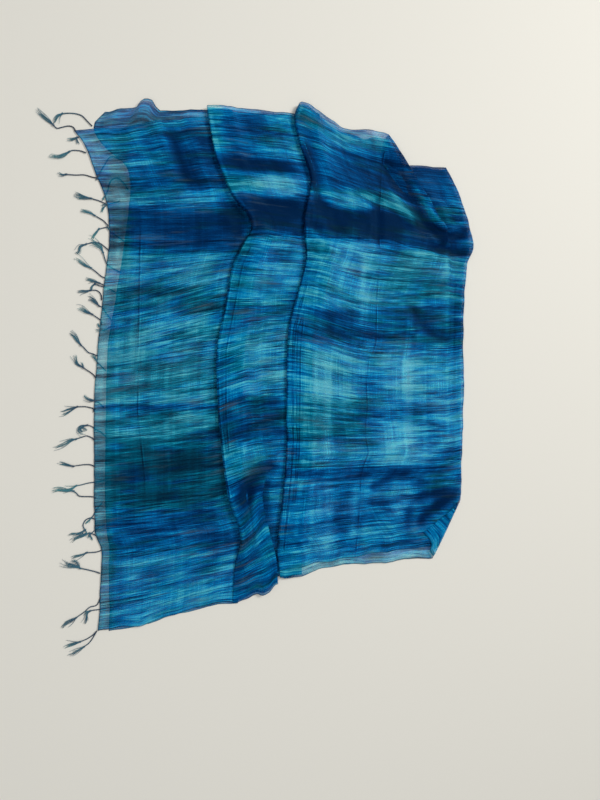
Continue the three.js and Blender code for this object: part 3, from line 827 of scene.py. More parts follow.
PRESSED_ALONG = chart("stretch line", [
    (2, [(-258, 62), (-261, 167), (-262, 228), (-248, 270), (-242, 312), (-234, 355), (-234, 395)]),
    (1, [(-258, -40), (-262, 50)]),
    (0, [(-228, -296), (-240, -180), (-246, -90)]),
    (2, [(-84, 28), (-66, 88), (-47, 185), (-50, 382)]),
    (1, [(-56, -105), (-78, 20)]),
    (0, [(4, -325), (-10, -220), (-32, -115)]),
    (2, [(178, 20), (178, 200), (175, 380)]),
    (0, [(242, -330), (234, -220), (224, -100)]),
])
PRESSED_ACROSS = chart("stretch line", [
    (2, [(-424, 215), (-366, 210), (-262, 206), (-231, 209), (-160, 200), (-60, 198), (-40, 192),
     (-29, 184), (18, 178), (64, 180), (117, 175), (155, 181), (183, 170), (198, 166), (251, 163),
     (314, 157), (358, 152)]),
    (2, [(-455, 224), (-431, 239), (-404, 261), (-365, 288), (-326, 318), (-296, 338)]),
    (0, [(-250, -243), (-60, -250), (66, -254), (190, -244)]),
    (1, [(-235, -46), (-200, -62), (-122, -78), (-45, -94), (70, -96), (140, -92)]),
    (2, [(-168, 60), (-95, 40), (-45, 34), (150, 30), (239, 21), (330, 10)]),
    (2, [(-120, 54), (-45, 46), (150, 42), (239, 33)]),
    # just behind the noses of folds A and B, where the shader paints the lip's shadow line and a
    # highlight
    (1, beside_nose(FOLD_A_ROWS, 1.5, -280, 280)),
    (2, beside_nose(FOLD_B_ROWS, 1.5, -340, 340)),
])
PALE_WEFTS_AND_HIGHLIGHT = chart("stretch line", [
    (2, [(-44, 301), (163, 300)]),
    (2, [(-44, 349), (133, 349)]),
    (2, [(-250, 349), (-70, 349)]),
    (2, [(-240, 92), (-40, 60), (168, 50), (330, 30)]),
    (2, [(-20, 76), (190, 70), (330, 62)]),
    (2, [(-230, 175), (-70, 168)]),
    (1, [(-40, -60), (140, -62)]),
    # not a weft: a painted highlight along the crest just behind the nose of fold A
    (1, beside_nose(FOLD_A_ROWS, 5, -490, -40)),
    (1, [(-220, -16), (-60, -28), (120, -30)]),
    (0, [(-200, -190), (60, -205), (200, -200)]),
    (0, [(-240, -280), (60, -290), (240, -292)]),
])
print(len(PRESSED_ALONG) + len(PRESSED_ACROSS), "pressed lines,", len(PALE_WEFTS_AND_HIGHLIGHT), "pale wefts")

# %% Distance to the lines
FAR = 25.0  # millimetres; a pressed line further off than this doesn't show


def pressed(rows, lines, beside, running):
    """Signed distance to the nearest line. The lines run with column `running` of a row, and
    `beside` is the column across them."""
    best = np.full(rows[:, 0].shape, FAR)
    for mark in lines:
        line = np.array(mark["line"], float)
        at = rows[:, running]
        middle = np.interp(at, line[:, running], line[:, beside])
        past_end = np.maximum(line[0, running] - at, 0) + np.maximum(at - line[-1, running], 0)
        side = rows[:, beside] - middle
        distance = side + np.sign(side) * past_end
        nearer = (np.abs(distance) < np.abs(best)) & (rows[:, 4] == mark["stretch"])
        best = np.where(nearer, distance, best)
    return best


upper_pressed = [
    pressed(upper_rows, PRESSED_ALONG, beside=0, running=1),
    pressed(upper_rows, PRESSED_ACROSS, beside=1, running=0),
    pressed(upper_rows, PALE_WEFTS_AND_HIGHLIGHT, beside=1, running=0),
]
lower_pressed = [np.full(lower_rows[:, 0].shape, FAR)] * 3
print(int((np.abs(upper_pressed[0]) < FAR).sum()), "points lie near a line along the threads")

# %% Turn both halves
past_upper = turn_corner(upper_rows)
turn_corner(lower_rows)
print("Turned", int((past_upper > 0).sum()), "points of the upper half")

# %% [markdown]
# ## Space-dyed patches
#
# The warp was dyed in patches before it was woven, so colour comes in long blotches with sharp
# sides, where a bundle of threads ends, and feathered ends, where the dye soaked along them. We
# chart the large blotches. `deep` is how dark or pale a blotch is, `green` how far it goes from
# blue towards teal. The fine streaks come later, from the shader.

# %% Dye chart
# stretch, middle of the blotch, half its width and half its length, and what it adds; where the
# threads run aslant, `lean` is how far the blotch goes sideways for each millimetre along
DYE = chart("stretch x y wide long deep green lean", [
    # the front stretch
    (0, -450, -160, 18, 60, -0.02, 0.05), (0, -390, -150, 52, 55, -0.26, 0),
    (0, -400, -250, 62, 66, -0.13, 0.05), (0, -318, -200, 16, 140, 0.03, 0.15),
    (0, -262, -150, 40, 110, -0.36, -0.05), (0, -262, -285, 40, 45, -0.12, 0.1),
    (0, -193, -200, 30, 150, 0.1, 0.25), (0, -138, -210, 26, 140, -0.03, 0.5),
    (0, -76, -210, 34, 140, 0.08, 0.45), (0, 5, -210, 46, 140, 0.11, 0.6),
    (0, 56, -230, 6, 130, -0.22, -0.2), (0, 92, -210, 30, 140, -0.02, 0.65),
    (0, 182, -210, 62, 140, -0.27, 0.66), (0, 288, -210, 42, 150, -0.17, -0.05),
    # (0, -292, -78) is painted shade: the shadow in the hollow in front of the hump of fold A
    (0, 390, -210, 62, 150, 0.04, 0), (0, -292, -78, 30, 24, -0.28, 0),
    (0, -120, -140, 50, 40, -0.06, 0), (0, -60, -255, 90, 9, 0.08, 0.1),
    (0, -300, -276, 115, 16, 0.06, 0.55), (0, -388, -300, 30, 28, 0.2, 0.3),
    (0, -330, -285, 22, 22, 0.2, 0.4), (0, 60, -318, 400, 18, 0.1, 0.55),
    # the middle stretch
    (1, -445, 20, 42, 45, -0.02, 0.15), (1, -445, -45, 42, 35, -0.12, 0.05),
    # the first two rows here are painted light along the nose of fold A, not dye
    (1, -452, -108, 42, 16, 0.12, 0.4), (1, -340, -84, 22, 14, 0.14, 0.3),
    (1, -388, -30, 13, 100, -0.44, 0), (1, -354, 12, 19, 42, 0.2, 0),
    (1, -352, -70, 19, 40, 0.02, 0.3), (1, -297, -10, 36, 110, -0.52, -0.05),
    (1, -208, 0, 50, 60, 0.13, 0.1), (1, -208, -75, 50, 32, -0.04, 0.4),
    (1, -130, -30, 30, 90, -0.08, 0.3), (1, -30, -30, 66, 90, 0.12, 0.22),
    (1, 84, -40, 42, 90, -0.22, 0.25), (1, 160, -70, 34, 50, 0.06, 0.4),
    (1, 235, -45, 44, 40, -0.27, 0), (1, 350, -50, 75, 90, -0.12, 0.05),
    # the back stretch, its left third
    (2, -425, 150, 36, 100, 0.06, 0.2), (2, -482, 75, 22, 44, 0.08, 0.35),
    (2, -388, 150, 37, 125, -0.3, -0.25), (2, -452, 196, 14, 36, 0.16, 0.3),
    (2, -430, 240, 30, 26, -0.24, -0.25), (2, -334, 160, 17, 58, 0.05, 0.3),
    (2, -318, 258, 19, 56, -0.04, 0.65, 0.55), (2, -330, 297, 9, 26, 0.16, 0.5, 1.3),
    (2, -300, 85, 30, 56, -0.46, -0.05, 0.22), (2, -288, 190, 30, 56, -0.46, -0.05),
    (2, -272, 295, 28, 100, -0.44, -0.05, 0.18), (2, -314, 345, 18, 24, -0.12, 0.5),
    (2, -378, 320, 40, 58, -0.27, -0.35),
    # the back stretch, its middle
    (2, -220, 300, 26, 95, 0.05, 0.5), (2, -212, 345, 26, 30, 0.14, 0),
    (2, -172, 300, 28, 95, -0.05, 0.5), (2, -97, 305, 45, 95, -0.14, 0.25),
    (2, -228, 160, 30, 55, 0.2, 0.05), (2, -160, 155, 38, 60, 0.12, 0.2),
    (2, -200, 82, 60, 30, 0.02, 0.35), (2, -92, 130, 30, 80, -0.12, 0.1),
    (2, 0, 345, 50, 42, 0.12, 0.1), (2, 100, 345, 48, 42, 0.07, -0.05),
    (2, -4, 245, 46, 50, 0.26, 0.18), (2, 70, 245, 28, 55, 0.06, 0.05),
    (2, 140, 250, 44, 50, 0.31, 0.12), (2, 0, 110, 50, 68, 0.23, 0.32),
    (2, 90, 95, 36, 70, -0.02, 0.6), (2, 156, 110, 28, 70, 0.14, 0.2),
    # the back stretch, its right third
    (2, 194, 180, 12, 180, -0.16, -0.3), (2, 275, 210, 70, 170, -0.04, -0.2),
    (2, 262, 252, 44, 28, 0.12, -0.05), (2, 245, 100, 38, 40, 0.12, 0),
    (2, 325, 90, 24, 30, 0.1, 0), (2, 225, 335, 42, 40, -0.1, 0.2),
    (2, 290, 330, 30, 50, -0.1, 0.15), (2, 374, 150, 14, 170, 0.2, 0.45),
    # bands of paler weft
    (2, 80, 100, 95, 9, 0.14, 0), (2, 60, 266, 100, 9, 0.14, 0.05), (2, 270, 100, 70, 9, 0.12, 0),
    (2, 270, 150, 60, 7, 0.1, 0), (2, -160, 175, 80, 8, 0.12, 0), (2, -160, 345, 70, 8, 0.08, 0),
])
print(len(DYE), "blotches of dye")

# %% Dye the cloth and paint shade into its hollows
PAINTED_HOLLOW_SHADE = 0.042  # painted shade: a hollow is painted this much darker for each millimetre of its depth, a ridge this much paler as painted light
DARKEST_HOLLOW, PALEST_RIDGE = -12, 3  # hollows and ridges past these are painted no darker or paler
RAGGED = 9  # how far the dye ran along one bundle of threads and not along the next
SIDES, ENDS = 6, 4  # how sharp the sides and the ends of a blotch are


def dye(rows):
    """How dark and how green the dye is at every point of the cloth."""
    x, y, _, _, stretch = (rows[:, i] for i in range(5))
    chance = np.random.default_rng(5)
    ragged = RAGGED * chance.uniform(-1, 1, y.shape[1])
    deep = np.zeros_like(x)
    green = np.zeros_like(x)
    for blotch in DYE:
        middle = blotch["x"] + blotch.get("lean", 0) * (y - blotch["y"])
        side = np.exp(-(((x - middle) / blotch["wide"]) ** SIDES))
        run = ragged * min(1, blotch["long"] / 40) ** 2
        length = np.exp(-(((y + run - blotch["y"]) / blotch["long"]) ** ENDS))
        amount = side * length * (stretch == blotch["stretch"])
        deep += blotch["deep"] * amount
        green += blotch["green"] * amount
    return deep, green


upper_dye_and_shade, upper_green = dye(upper_rows)
# painted shade in the hollows and painted light on the ridges of the creases and swells
upper_dye_and_shade += PAINTED_HOLLOW_SHADE * np.clip(upper_relief, DARKEST_HOLLOW, PALEST_RIDGE)
lower_deep, lower_green = dye(lower_rows)
print("The dye goes from", round(float(upper_dye_and_shade.min()), 2), "to", round(float(upper_dye_and_shade.max()), 2))

# %% [markdown]
# ## Cloth from rows
#
# Each half starts as Blender's own grid, one vertex for each thread in each row. Every vertex is
# then moved to its place. The grid's texture coordinates are set in real metres, across and
# along the threads, so the weave keeps its size where the cloth goes round a fold. Solidify then
# gives the cloth its thickness.

# %% Make a half of the scarf
CLOTH_WIDTH = 0.9
CLOTH_THICKNESS = 0.00026


def make_cloth(name, rows, marks, along_start, along_sign):
    """A grid through the rows. `marks` are numbers that each point carries for the shader."""
    row_count, _, thread_count = rows.shape
    bpy.ops.object.select_all(action="DESELECT")
    bpy.ops.mesh.primitive_grid_add(
        x_subdivisions=thread_count - 1, y_subdivisions=row_count - 1, size=1, calc_uvs=True
    )
    cloth = bpy.context.object
    cloth.name = name
    mesh = cloth.data
    count = row_count * thread_count
    assert len(mesh.vertices) == count
    places = np.stack([rows[:, 0], rows[:, 1], rows[:, 2]], axis=-1) * MM
    mesh.vertices.foreach_set("co", places.reshape(-1))

    steps = np.linalg.norm(np.diff(places, axis=0), axis=-1)
    along = np.vstack([np.zeros(thread_count), np.cumsum(steps, axis=0)])
    along = along_start + along_sign * along
    across = np.broadcast_to(np.linspace(0, CLOTH_WIDTH, thread_count), along.shape)
    cloth_uv = np.stack([across, along], axis=-1).reshape(-1, 2)
    corner_vertex = np.empty(len(mesh.loops), int)
    mesh.loops.foreach_get("vertex_index", corner_vertex)
    mesh.uv_layers[0].name = "threads"
    mesh.uv_layers[0].data.foreach_set("uv", cloth_uv[corner_vertex].reshape(-1).astype(np.float32))
    for label, values in marks.items():
        layer = mesh.attributes.new(label, "FLOAT", "POINT")
        layer.data.foreach_set("value", values.reshape(-1).astype(np.float32))
    mesh.update()

    thick = cloth.modifiers.new("thickness", "SOLIDIFY")
    thick.thickness = CLOTH_THICKNESS
    thick.offset = 0
    bpy.ops.object.modifier_apply(modifier=thick.name)
    bpy.ops.object.shade_smooth()
    length = float(np.abs(along[-1] - along[0]).mean())
    print(f"{name}: {len(mesh.polygons)} faces, {length:.3f} m along the threads")
    return cloth


MARKS = ("deep", "green", "press_along", "press_across", "pale_weft")
upper_marks = dict(zip(MARKS, [upper_dye_and_shade, upper_green, *upper_pressed]))
lower_marks = dict(zip(MARKS, [lower_deep, lower_green, *lower_pressed]))
silk_upper = make_cloth("silk_upper", upper_rows, upper_marks, 0, 1)
silk_lower = make_cloth("silk_lower", lower_rows, lower_marks, 2 * CLOTH_WIDTH, -1)

# %% [markdown]
# ## The fringe
#
# At both ends two or three bundles of warp threads are twisted together, knotted, and left loose
# below the knot. Each tassel has its own way of lying, so a table gives where it leaves the
# cloth, where its knot is and where its tip lies. A tassel is two plies twisted round each
# other, a small wrapped knot and a brush of loose threads.

# %% Where the tassels lie
# For each tassel the route of its cord, from the cloth to the knot, and the route of its brush
# beyond the knot. A few brushes have split, and `also` is the second part.
# From left to right, in millimetres.
UPPER_TASSELS = chart("cord brush also", [
    ([(-426, -347), (-433, -352), (-434, -360), (-431, -370), (-429, -378), (-434, -384)],
     [(-443, -394), (-452, -405), (-460, -412)]),
    ([(-417, -341), (-415, -346)], [(-412, -354), (-414, -362)], [(-408, -344), (-401, -341)]),
    ([(-390, -331), (-393, -341), (-393, -353), (-390, -359)],
     [(-384, -368), (-380, -379), (-382, -394)]),
    ([(-348, -314), (-349, -322), (-352, -335), (-351, -349), (-351, -365)],
     [(-350, -372), (-354, -380)]),
    ([(-302, -297), (-308, -310), (-312, -325)],
     [(-314, -336), (-317, -343), (-320, -353)],
     [(-312, -336), (-311, -346), (-314, -356)]),
    ([(-265, -297), (-270, -301), (-275, -306), (-283, -320)], [(-288, -330), (-291, -344)]),
    ([(-263, -297), (-262, -304), (-259, -313)], [(-250, -320), (-240, -325)]),
    ([(-222, -297), (-228, -303), (-235, -313), (-235, -325), (-232, -335)],
     [(-227, -345), (-218, -347), (-215, -355)]),
    ([(-174, -305), (-177, -311), (-184, -319), (-191, -328)],
     [(-196, -338), (-202, -347), (-206, -357)]),
    ([(-160, -305), (-163, -310), (-165, -315)], [(-168, -322), (-170, -330), (-171, -338)]),
    ([(-135, -311), (-144, -312), (-149, -315), (-152, -320), (-152, -329)],
     [(-150, -337), (-150, -345), (-148, -354)]),
    ([(-91, -312), (-98, -313), (-103, -318), (-110, -328)],
     [(-114, -338), (-119, -346), (-119, -354)]),
    ([(-36, -320), (-40, -328), (-43, -336), (-51, -343), (-56, -348)],
     [(-63, -353), (-72, -359), (-78, -367)]),
    ([(3, -324), (-5, -330), (-16, -345)],
     [(-22, -354), (-31, -357), (-40, -358)],
     [(-19, -345), (-28, -348)]),
    ([(63, -329), (57, -330), (55, -335), (53, -344), (53, -357)],
     [(58, -369), (64, -382), (63, -389)],
     [(57, -369), (60, -385)]),
    ([(113, -330), (109, -333), (105, -342), (107, -350), (110, -360)],
     [(113, -370), (121, -384), (125, -399)]),
    ([(161, -329), (157, -336), (156, -346), (157, -358), (158, -366)], [(155, -378), (149, -393)]),
    ([(217, -329), (214, -336), (212, -356), (206, -362), (202, -367)],
     [(200, -379), (197, -391), (199, -404)]),
    ([(256, -330), (252, -338), (255, -347), (264, -352), (273, -349)],
     [(278, -358), (279, -368), (282, -379)],
     [(278, -347), (287, -348)]),
    ([(285, -329), (281, -336), (279, -342)],
     [(283, -354), (286, -366), (293, -375)],
     [(284, -342), (291, -344)]),
    ([(311, -321), (314, -330), (314, -347)], [(317, -358), (320, -369), (325, -375)]),
    ([(353, -325), (350, -332), (345, -346), (341, -359)],
     [(336, -367), (332, -381), (324, -392)],
     [(331, -364), (327, -371), (326, -379)]),
    ([(396, -325), (410, -332), (413, -344), (421, -354), (430, -368)],
     [(435, -378), (439, -387), (447, -394)]),
    ([(457, -333), (464, -340), (470, -350), (474, -362)], [(477, -376), (479, -386), (482, -391)]),
    ([(457, -333), (469, -340), (478, -347), (484, -356)], [(490, -366), (496, -376), (499, -385)]),
])
# the lower end; these cords start under the upper half
LOWER_TASSELS = chart("cord brush also", [
    ([(-437, -320), (-445, -328), (-453, -336), (-456, -346), (-456, -359), (-454, -369)],
     [(-448, -377), (-434, -386)]),
    ([(-382, -271), (-386, -290), (-369, -302), (-351, -312)], [(-348, -314), (-342, -317)]),
    ([(-330, -262), (-342, -269), (-350, -280), (-344, -291), (-328, -296), (-317, -301)],
     [(-314, -303), (-308, -306)]),
    ([(-310, -276), (-304, -293), (-302, -298)],
     [(-296, -305), (-287, -309)],
     [(-302, -303), (-298, -308)]),
    ([(-240, -271), (-252, -288), (-260, -296)], [(-263, -299), (-265, -301)]),
    ([(-185, -279), (-192, -292), (-199, -301), (-219, -307)],
     [(-228, -312), (-236, -323), (-239, -333)]),
    ([(-146, -283), (-155, -297), (-158, -307), (-163, -322)], [(-158, -327), (-151, -329)]),
    ([(-98, -294), (-112, -304), (-121, -309), (-125, -316)],
     [(-130, -321), (-135, -327), (-137, -334)],
     [(-135, -324), (-142, -337)]),
    ([(-89, -295), (-82, -308), (-84, -313)],
     [(-91, -318), (-95, -318)],
     [(-82, -319), (-84, -324)]),
    ([(-10, -307), (-19, -315), (-24, -320)], [(-33, -325), (-40, -330)]),
    ([(56, -312), (49, -317), (43, -327)], [(40, -338), (31, -346)]),
    ([(108, -309), (99, -318), (93, -328), (88, -334), (86, -341)],
     [(88, -350), (94, -354), (99, -350), (98, -340)],
     [(89, -348), (95, -340)]),
    ([(185, -311), (188, -327), (189, -340), (192, -354), (193, -362)],
     [(197, -369), (200, -379), (199, -389)]),
    ([(226, -319), (240, -330), (249, -335), (252, -338)], [(257, -343), (262, -349)]),
    ([(266, -315), (271, -327), (277, -335), (281, -341)], [(286, -339), (294, -336)]),
    ([(419, -317), (419, -330), (419, -337), (420, -344)],
     [(425, -349), (435, -351), (444, -355)],
     [(421, -351), (428, -356)]),
])
print(len(UPPER_TASSELS), "and", len(LOWER_TASSELS), "tassels")

# %% Closed tubes
UP = Vector((0, 0, 1))
TOO_NEAR = 0.05  # two points of a route nearer than this become one


def ahead_at(route, i):
    """The way a route runs at one of its points."""
    return route[min(i + 1, len(route) - 1)] - route[max(i - 1, 0)]


def level_side(ahead):
    """The way to one side of a direction, level with the table."""
    return ahead.cross(UP).normalized()


def smooth_route(points, step):
    """Points at even steps along a smooth line through a few points."""
    points = [Vector(p) for p in points]
    ends = [2 * points[0] - points[1], *points, 2 * points[-1] - points[-2]]
    route = []
    for a, b, c, d in zip(ends, ends[1:], ends[2:], ends[3:]):
        count = max(2, int((c - b).length / step))
        for i in range(count):
            t = i / count
            square, cube = 2 * a - 5 * b + 4 * c - d, 3 * b - a - 3 * c + d
            route.append(0.5 * (2 * b + (c - a) * t + square * t**2 + cube * t**3))
    route.append(points[-1])
    for before, after in zip(route, route[1:]):
        if (after - before).length < TOO_NEAR:
            route.remove(after)
    return route


class Strands:
    """Gathers closed tubes and knots for one mesh. `along` is 0 at the cloth and 1 at the tip."""

    def __init__(self):
        self.places = []
        self.faces = []
        self.along = []

    def tube(self, route, radii, sides, along):
        """A closed tube, with a radius and a value of `along` at each point of its route."""
        start = len(self.places)
        for i, point in enumerate(route):
            ahead = ahead_at(route, i).normalized()
            side = level_side(ahead)
            up = side.cross(ahead)
            for k in range(sides):
                angle = 2 * math.pi * k / sides
                outward = math.cos(angle) * side + math.sin(angle) * up
                self.places.append(point + radii[i] * outward)
                self.along.append(along[i])
            if i:
                low, high = start + (i - 1) * sides, start + i * sides
                for k in range(sides):
                    n = (k + 1) % sides
                    self.faces.append((low + k, low + n, high + n, high + k))
        self.faces.append(tuple(start + k for k in reversed(range(sides))))
        last = start + (len(route) - 1) * sides
        self.faces.append(tuple(last + k for k in range(sides)))

    def object(self, name):
        mesh = bpy.data.meshes.new(name)
        mesh.from_pydata([point * MM for point in self.places], [], self.faces)
        layer = mesh.attributes.new("along", "FLOAT", "POINT")
        layer.data.foreach_set("value", self.along)
        made = bpy.data.objects.new(name, mesh)
        bpy.context.collection.objects.link(made)
        bpy.ops.object.select_all(action="DESELECT")
        made.select_set(True)
        bpy.context.view_layer.objects.active = made
        bpy.ops.object.mode_set(mode="EDIT")
        bpy.ops.mesh.select_all(action="SELECT")
        bpy.ops.mesh.normals_make_consistent(inside=False)
        bpy.ops.object.mode_set(mode="OBJECT")
        bpy.ops.object.shade_smooth()
        return made


# %% Cord, knot and brush
PLY_RADIUS = 0.58
PLY_PITCH = 5.5  # length of one full twist
CORD_STEP = 0.7
CORD_END = 0.6  # `along` where the cord ends and the brush begins
WRAP_STEPS = 24  # of the two turns of thread round a knot
WRAP_LENGTH = 3.4
WRAP_RADIUS = 1.1
WRAP_THREAD = 0.7
KNOT_SHAPE = [(-2.4, 0.6), (-1.5, 1.3), (0, 1.6), (1.5, 1.3), (2.4, 0.6)]  # along it, its radius
STRAY_THREADS = 2  # threads of each brush that stand off
BRUSH_STEPS = 8
SPREAD, SWAY = 0.11, 0.05  # how far a loose thread leaves the route and bends, over its length
SHORTEST = 0.60  # length of the shortest loose thread over the longest
LIFT = 1.6  # height of the highest loose thread


def cord(strands, points):
    """Two plies twisted round each other."""
    route = smooth_route(points, CORD_STEP)
    for ply in (0, 1):
        places, radii = [], []
        length = 0
        for i, point in enumerate(route):
            length += (point - route[max(i - 1, 0)]).length
            angle = 2 * math.pi * length / PLY_PITCH + math.pi * ply
            outward = math.cos(angle) * level_side(ahead_at(route, i)) + math.sin(angle) * UP
            places.append(point + PLY_RADIUS * outward)
            radii.append(PLY_RADIUS * (1.15 - 0.25 * i / len(route)))
        share = [CORD_END * i / len(route) for i in range(len(route))]
        strands.tube(places, radii, 5, share)


def knot(strands, middle, ahead):
    """A thread wrapped round twice, fat in the middle."""
    wrap = []
    for i in range(WRAP_STEPS + 1):
        angle = 4 * math.pi * i / WRAP_STEPS
        place = middle + ahead * (i / WRAP_STEPS - 0.5) * WRAP_LENGTH
        outward = math.cos(angle) * level_side(ahead) + math.sin(angle) * UP
        wrap.append(place + WRAP_RADIUS * outward)
    strands.tube(wrap, [WRAP_THREAD] * len(wrap), 6, [0.55] * len(wrap))
    body = [middle + ahead * offset for offset, _ in KNOT_SHAPE]
    strands.tube(body, [radius for _, radius in KNOT_SHAPE], 8, [CORD_END] * len(body))


def brush(strands, points, count, chance):
    """Loose threads that leave the knot together and follow one route, each in its own way."""
    route = smooth_route(points, 1.0)
    reach = len(route)
    steps = range(BRUSH_STEPS + 1)
    radii = [0.52 * (1 - 0.7 * i / BRUSH_STEPS) + 0.06 for i in steps]
    along = [CORD_END + (1 - CORD_END) * i / BRUSH_STEPS for i in steps]
    for number in range(count):
        spread = chance.uniform(-SPREAD, SPREAD)
        sway = chance.uniform(-SWAY, SWAY)
        full = chance.uniform(SHORTEST, 1.0)
        lift = chance.uniform(0, LIFT)
        if number < STRAY_THREADS:
            spread = 3 * spread
        places = []
        for i in steps:
            t = i / BRUSH_STEPS
            at = int(full * t * (len(route) - 1))
            side = level_side(ahead_at(route, at))
            aside = spread * t + sway * math.sin(math.pi * t)
            rise = 0.8 * lift * math.sin(math.pi * t * 0.8) * UP
            places.append(route[at] + rise + side * reach * aside)
        strands.tube(places, radii, 4, along)


print("A cord of two plies is", 4 * PLY_RADIUS, "mm thick")

# %% Make the fringes
CORD_HEIGHT = PLY_RADIUS * 2.2
KNOT_HEIGHT = 1.9
BRUSH_THREADS = 14
SECOND_BRUSH_THREADS = 7


def at_height(points, height):
    return [Vector((x, y, height)) for x, y in points]


def tassel(strands, row, root_height, chance):
    """One tassel: a cord of two plies, a knot and one or two brushes of loose threads."""
    cord_points = at_height(row["cord"], CORD_HEIGHT)
    cord_points[0].z = root_height
    tie = cord_points[-1]
    tie.z = KNOT_HEIGHT
    main = [tie, *at_height(row["brush"], CORD_HEIGHT)]
    cord(strands, cord_points)
    knot(strands, tie, (main[1] - tie).normalized())
    brush(strands, main, BRUSH_THREADS, chance)
    if "also" in row:
        second = [tie, *at_height(row["also"], CORD_HEIGHT)]
        brush(strands, second, SECOND_BRUSH_THREADS, chance)


def fringe(name, tassels, root_height, seed):
    """One row of tassels. They leave the cloth at the root height."""
    strands = Strands()
    chance = random.Random(seed)
    for row in tassels:
        tassel(strands, row, root_height, chance)
    made = strands.object(name)
    print(f"{name}: {len(tassels)} tassels, {len(made.data.polygons)} faces")
    return made


fringe_upper = fringe("tassels_upper_end", UPPER_TASSELS, root_height=2.1, seed=11)
fringe_lower = fringe("tassels_lower_end", LOWER_TASSELS, root_height=1.3, seed=12)

# %% [markdown]
# ## Shader sums as plain Python
#
# A shader is a tree of small sums. `Wire` wraps the output of a node, so that `a * 2 + b` adds the
# Math nodes itself, and `Wire.node` adds any other node with its settings and inputs.

# %% Wires
class Wire:
    """The output of a shader node. Arithmetic on it adds Math nodes."""

    def __init__(self, tree, socket=None):
        self.tree = tree
        self.socket = socket

    def node(self, kind, settings=None, inputs=None, output=0):
        made = self.tree.nodes.new(kind)
        for name, value in (settings or {}).items():
            if name == "stops":
                self.set_stops(made.color_ramp, value)
            else:
                setattr(made, name, value)
        for name, value in (inputs or {}).items():
            if isinstance(value, Wire):
                self.tree.links.new(value.socket, made.inputs[name])
            else:
                made.inputs[name].default_value = value
        return Wire(self.tree, made.outputs[output])

    @staticmethod
    def set_stops(ramp, stops):
        while len(ramp.elements) < len(stops):
            ramp.elements.new(1)
        for element, (place, color) in zip(ramp.elements, stops):
            element.position = place
            element.color = (*color, 1)

    def math(self, operation, *values):
        inputs = dict(enumerate(values))
        return self.node("ShaderNodeMath", {"operation": operation}, inputs)

    def __add__(self, other):
        return self.math("ADD", self, other)

    def __sub__(self, other):
        return self.math("SUBTRACT", self, other)

    def __rsub__(self, other):
        return self.math("SUBTRACT", other, self)

    def __mul__(self, other):
        return self.math("MULTIPLY", self, other)

    __radd__ = __add__
    __rmul__ = __mul__

    def clamp(self, low=0.0, high=1.0):
        inputs = {"Value": self, "Min": low, "Max": high}
        return self.node("ShaderNodeClamp", None, inputs)

    def over(self, low, high):
        """0 below low, 1 above high, and a soft step between."""
        inputs = {"Value": self, "From Min": low, "From Max": high}
        return self.node("ShaderNodeMapRange", {"interpolation_type": "SMOOTHSTEP"}, inputs)

    def blend(self, first, second):
        """This number mixes two colours."""
        inputs = {0: self, 6: first, 7: second}
        return self.node("ShaderNodeMix", {"data_type": "RGBA"}, inputs, 2)

    def size(self):
        """This number without its sign."""
        return self.math("ABSOLUTE", self)

    def attribute(self, name):
        """What each point of the mesh carries under a name."""
        return self.node("ShaderNodeAttribute", {"attribute_name": name}, None, 2)

    def vector_math(self, operation, other):
        return self.node("ShaderNodeVectorMath", {"operation": operation}, {0: self, 1: other})

    def streaks(self, across, along, seed, detail=2.0):
        """Noise stretched along the threads, from this vector, about 0 in the middle."""
        scaled = self.vector_math("MULTIPLY", (across, along, 1))
        moved = scaled.vector_math("ADD", (seed, seed * 0.37, seed))
        inputs = {"Vector": moved, "Scale": 1.0, "Detail": detail, "Roughness": 0.55}
        return self.node("ShaderNodeTexNoise", {"noise_dimensions": "3D"}, inputs) - 0.5

    def bump(self, strength, distance):
        """A normal that makes this height look raised, by a distance in metres."""
        inputs = {"Strength": strength, "Distance": distance, "Height": self}
        return self.node("ShaderNodeBump", None, inputs)


def new_material(name):
    material = bpy.data.materials.new(name)
    material.use_nodes = True
    tree = material.node_tree
    return material, tree.nodes["Principled BSDF"], Wire(tree)


def connect(wire, shader, socket):
    wire.tree.links.new(wire.socket, shader.inputs[socket])


# %% [markdown]
# ## Space-dyed silk
#
# The colour starts from the dye chart, which on the upper half also carries painted shade in its
# hollows and painted light on its ridges. Streaks of three sizes, all long along the warp and thin
# across it, push it darker and paler, thread by thread. A few weft threads are thicker, which
# gives faint lines across. Along the pressed lines the shader paints a fine line of painted shade
# with a painted highlight beside it. The cloth is sheer: each face lets part of the light by, so
# one layer looks pale, two look deep, and a tuck looks darkest.

# %% Colours of the silk
BLUES = [
    (0.0, (0.000, 0.012, 0.062)),
    (0.20, (0.000, 0.034, 0.150)),
    (0.42, (0.000, 0.112, 0.370)),
    (0.60, (0.000, 0.240, 0.620)),
    (0.78, (0.003, 0.450, 0.820)),
    (1.0, (0.120, 0.780, 0.940)),
]
TEALS = [
    (0.0, (0.001, 0.014, 0.034)),
    (0.20, (0.001, 0.043, 0.088)),
    (0.42, (0.000, 0.120, 0.215)),
    (0.60, (0.001, 0.232, 0.385)),
    (0.78, (0.014, 0.430, 0.610)),
    (1.0, (0.160, 0.730, 0.830)),
]
UNDYED = (0.085, 0.14, 0.165, 1)  # a brownish grey
DENSE = (0.002, 0.035, 0.085, 1)  # the loom's edge
print(len(BLUES), "blues and", len(TEALS), "teals, from dark to pale")

# %% Silk
SELVEDGE = 0.0020
CUT_EDGE = 0.0026
PRESS_WIDE = dict(press_along=1.7, press_across=2.2)  # half width of the painted dark line, in millimetres from its middle
MIDDLE_SHADE = 0.52  # how pale the silk is where the dye chart adds nothing


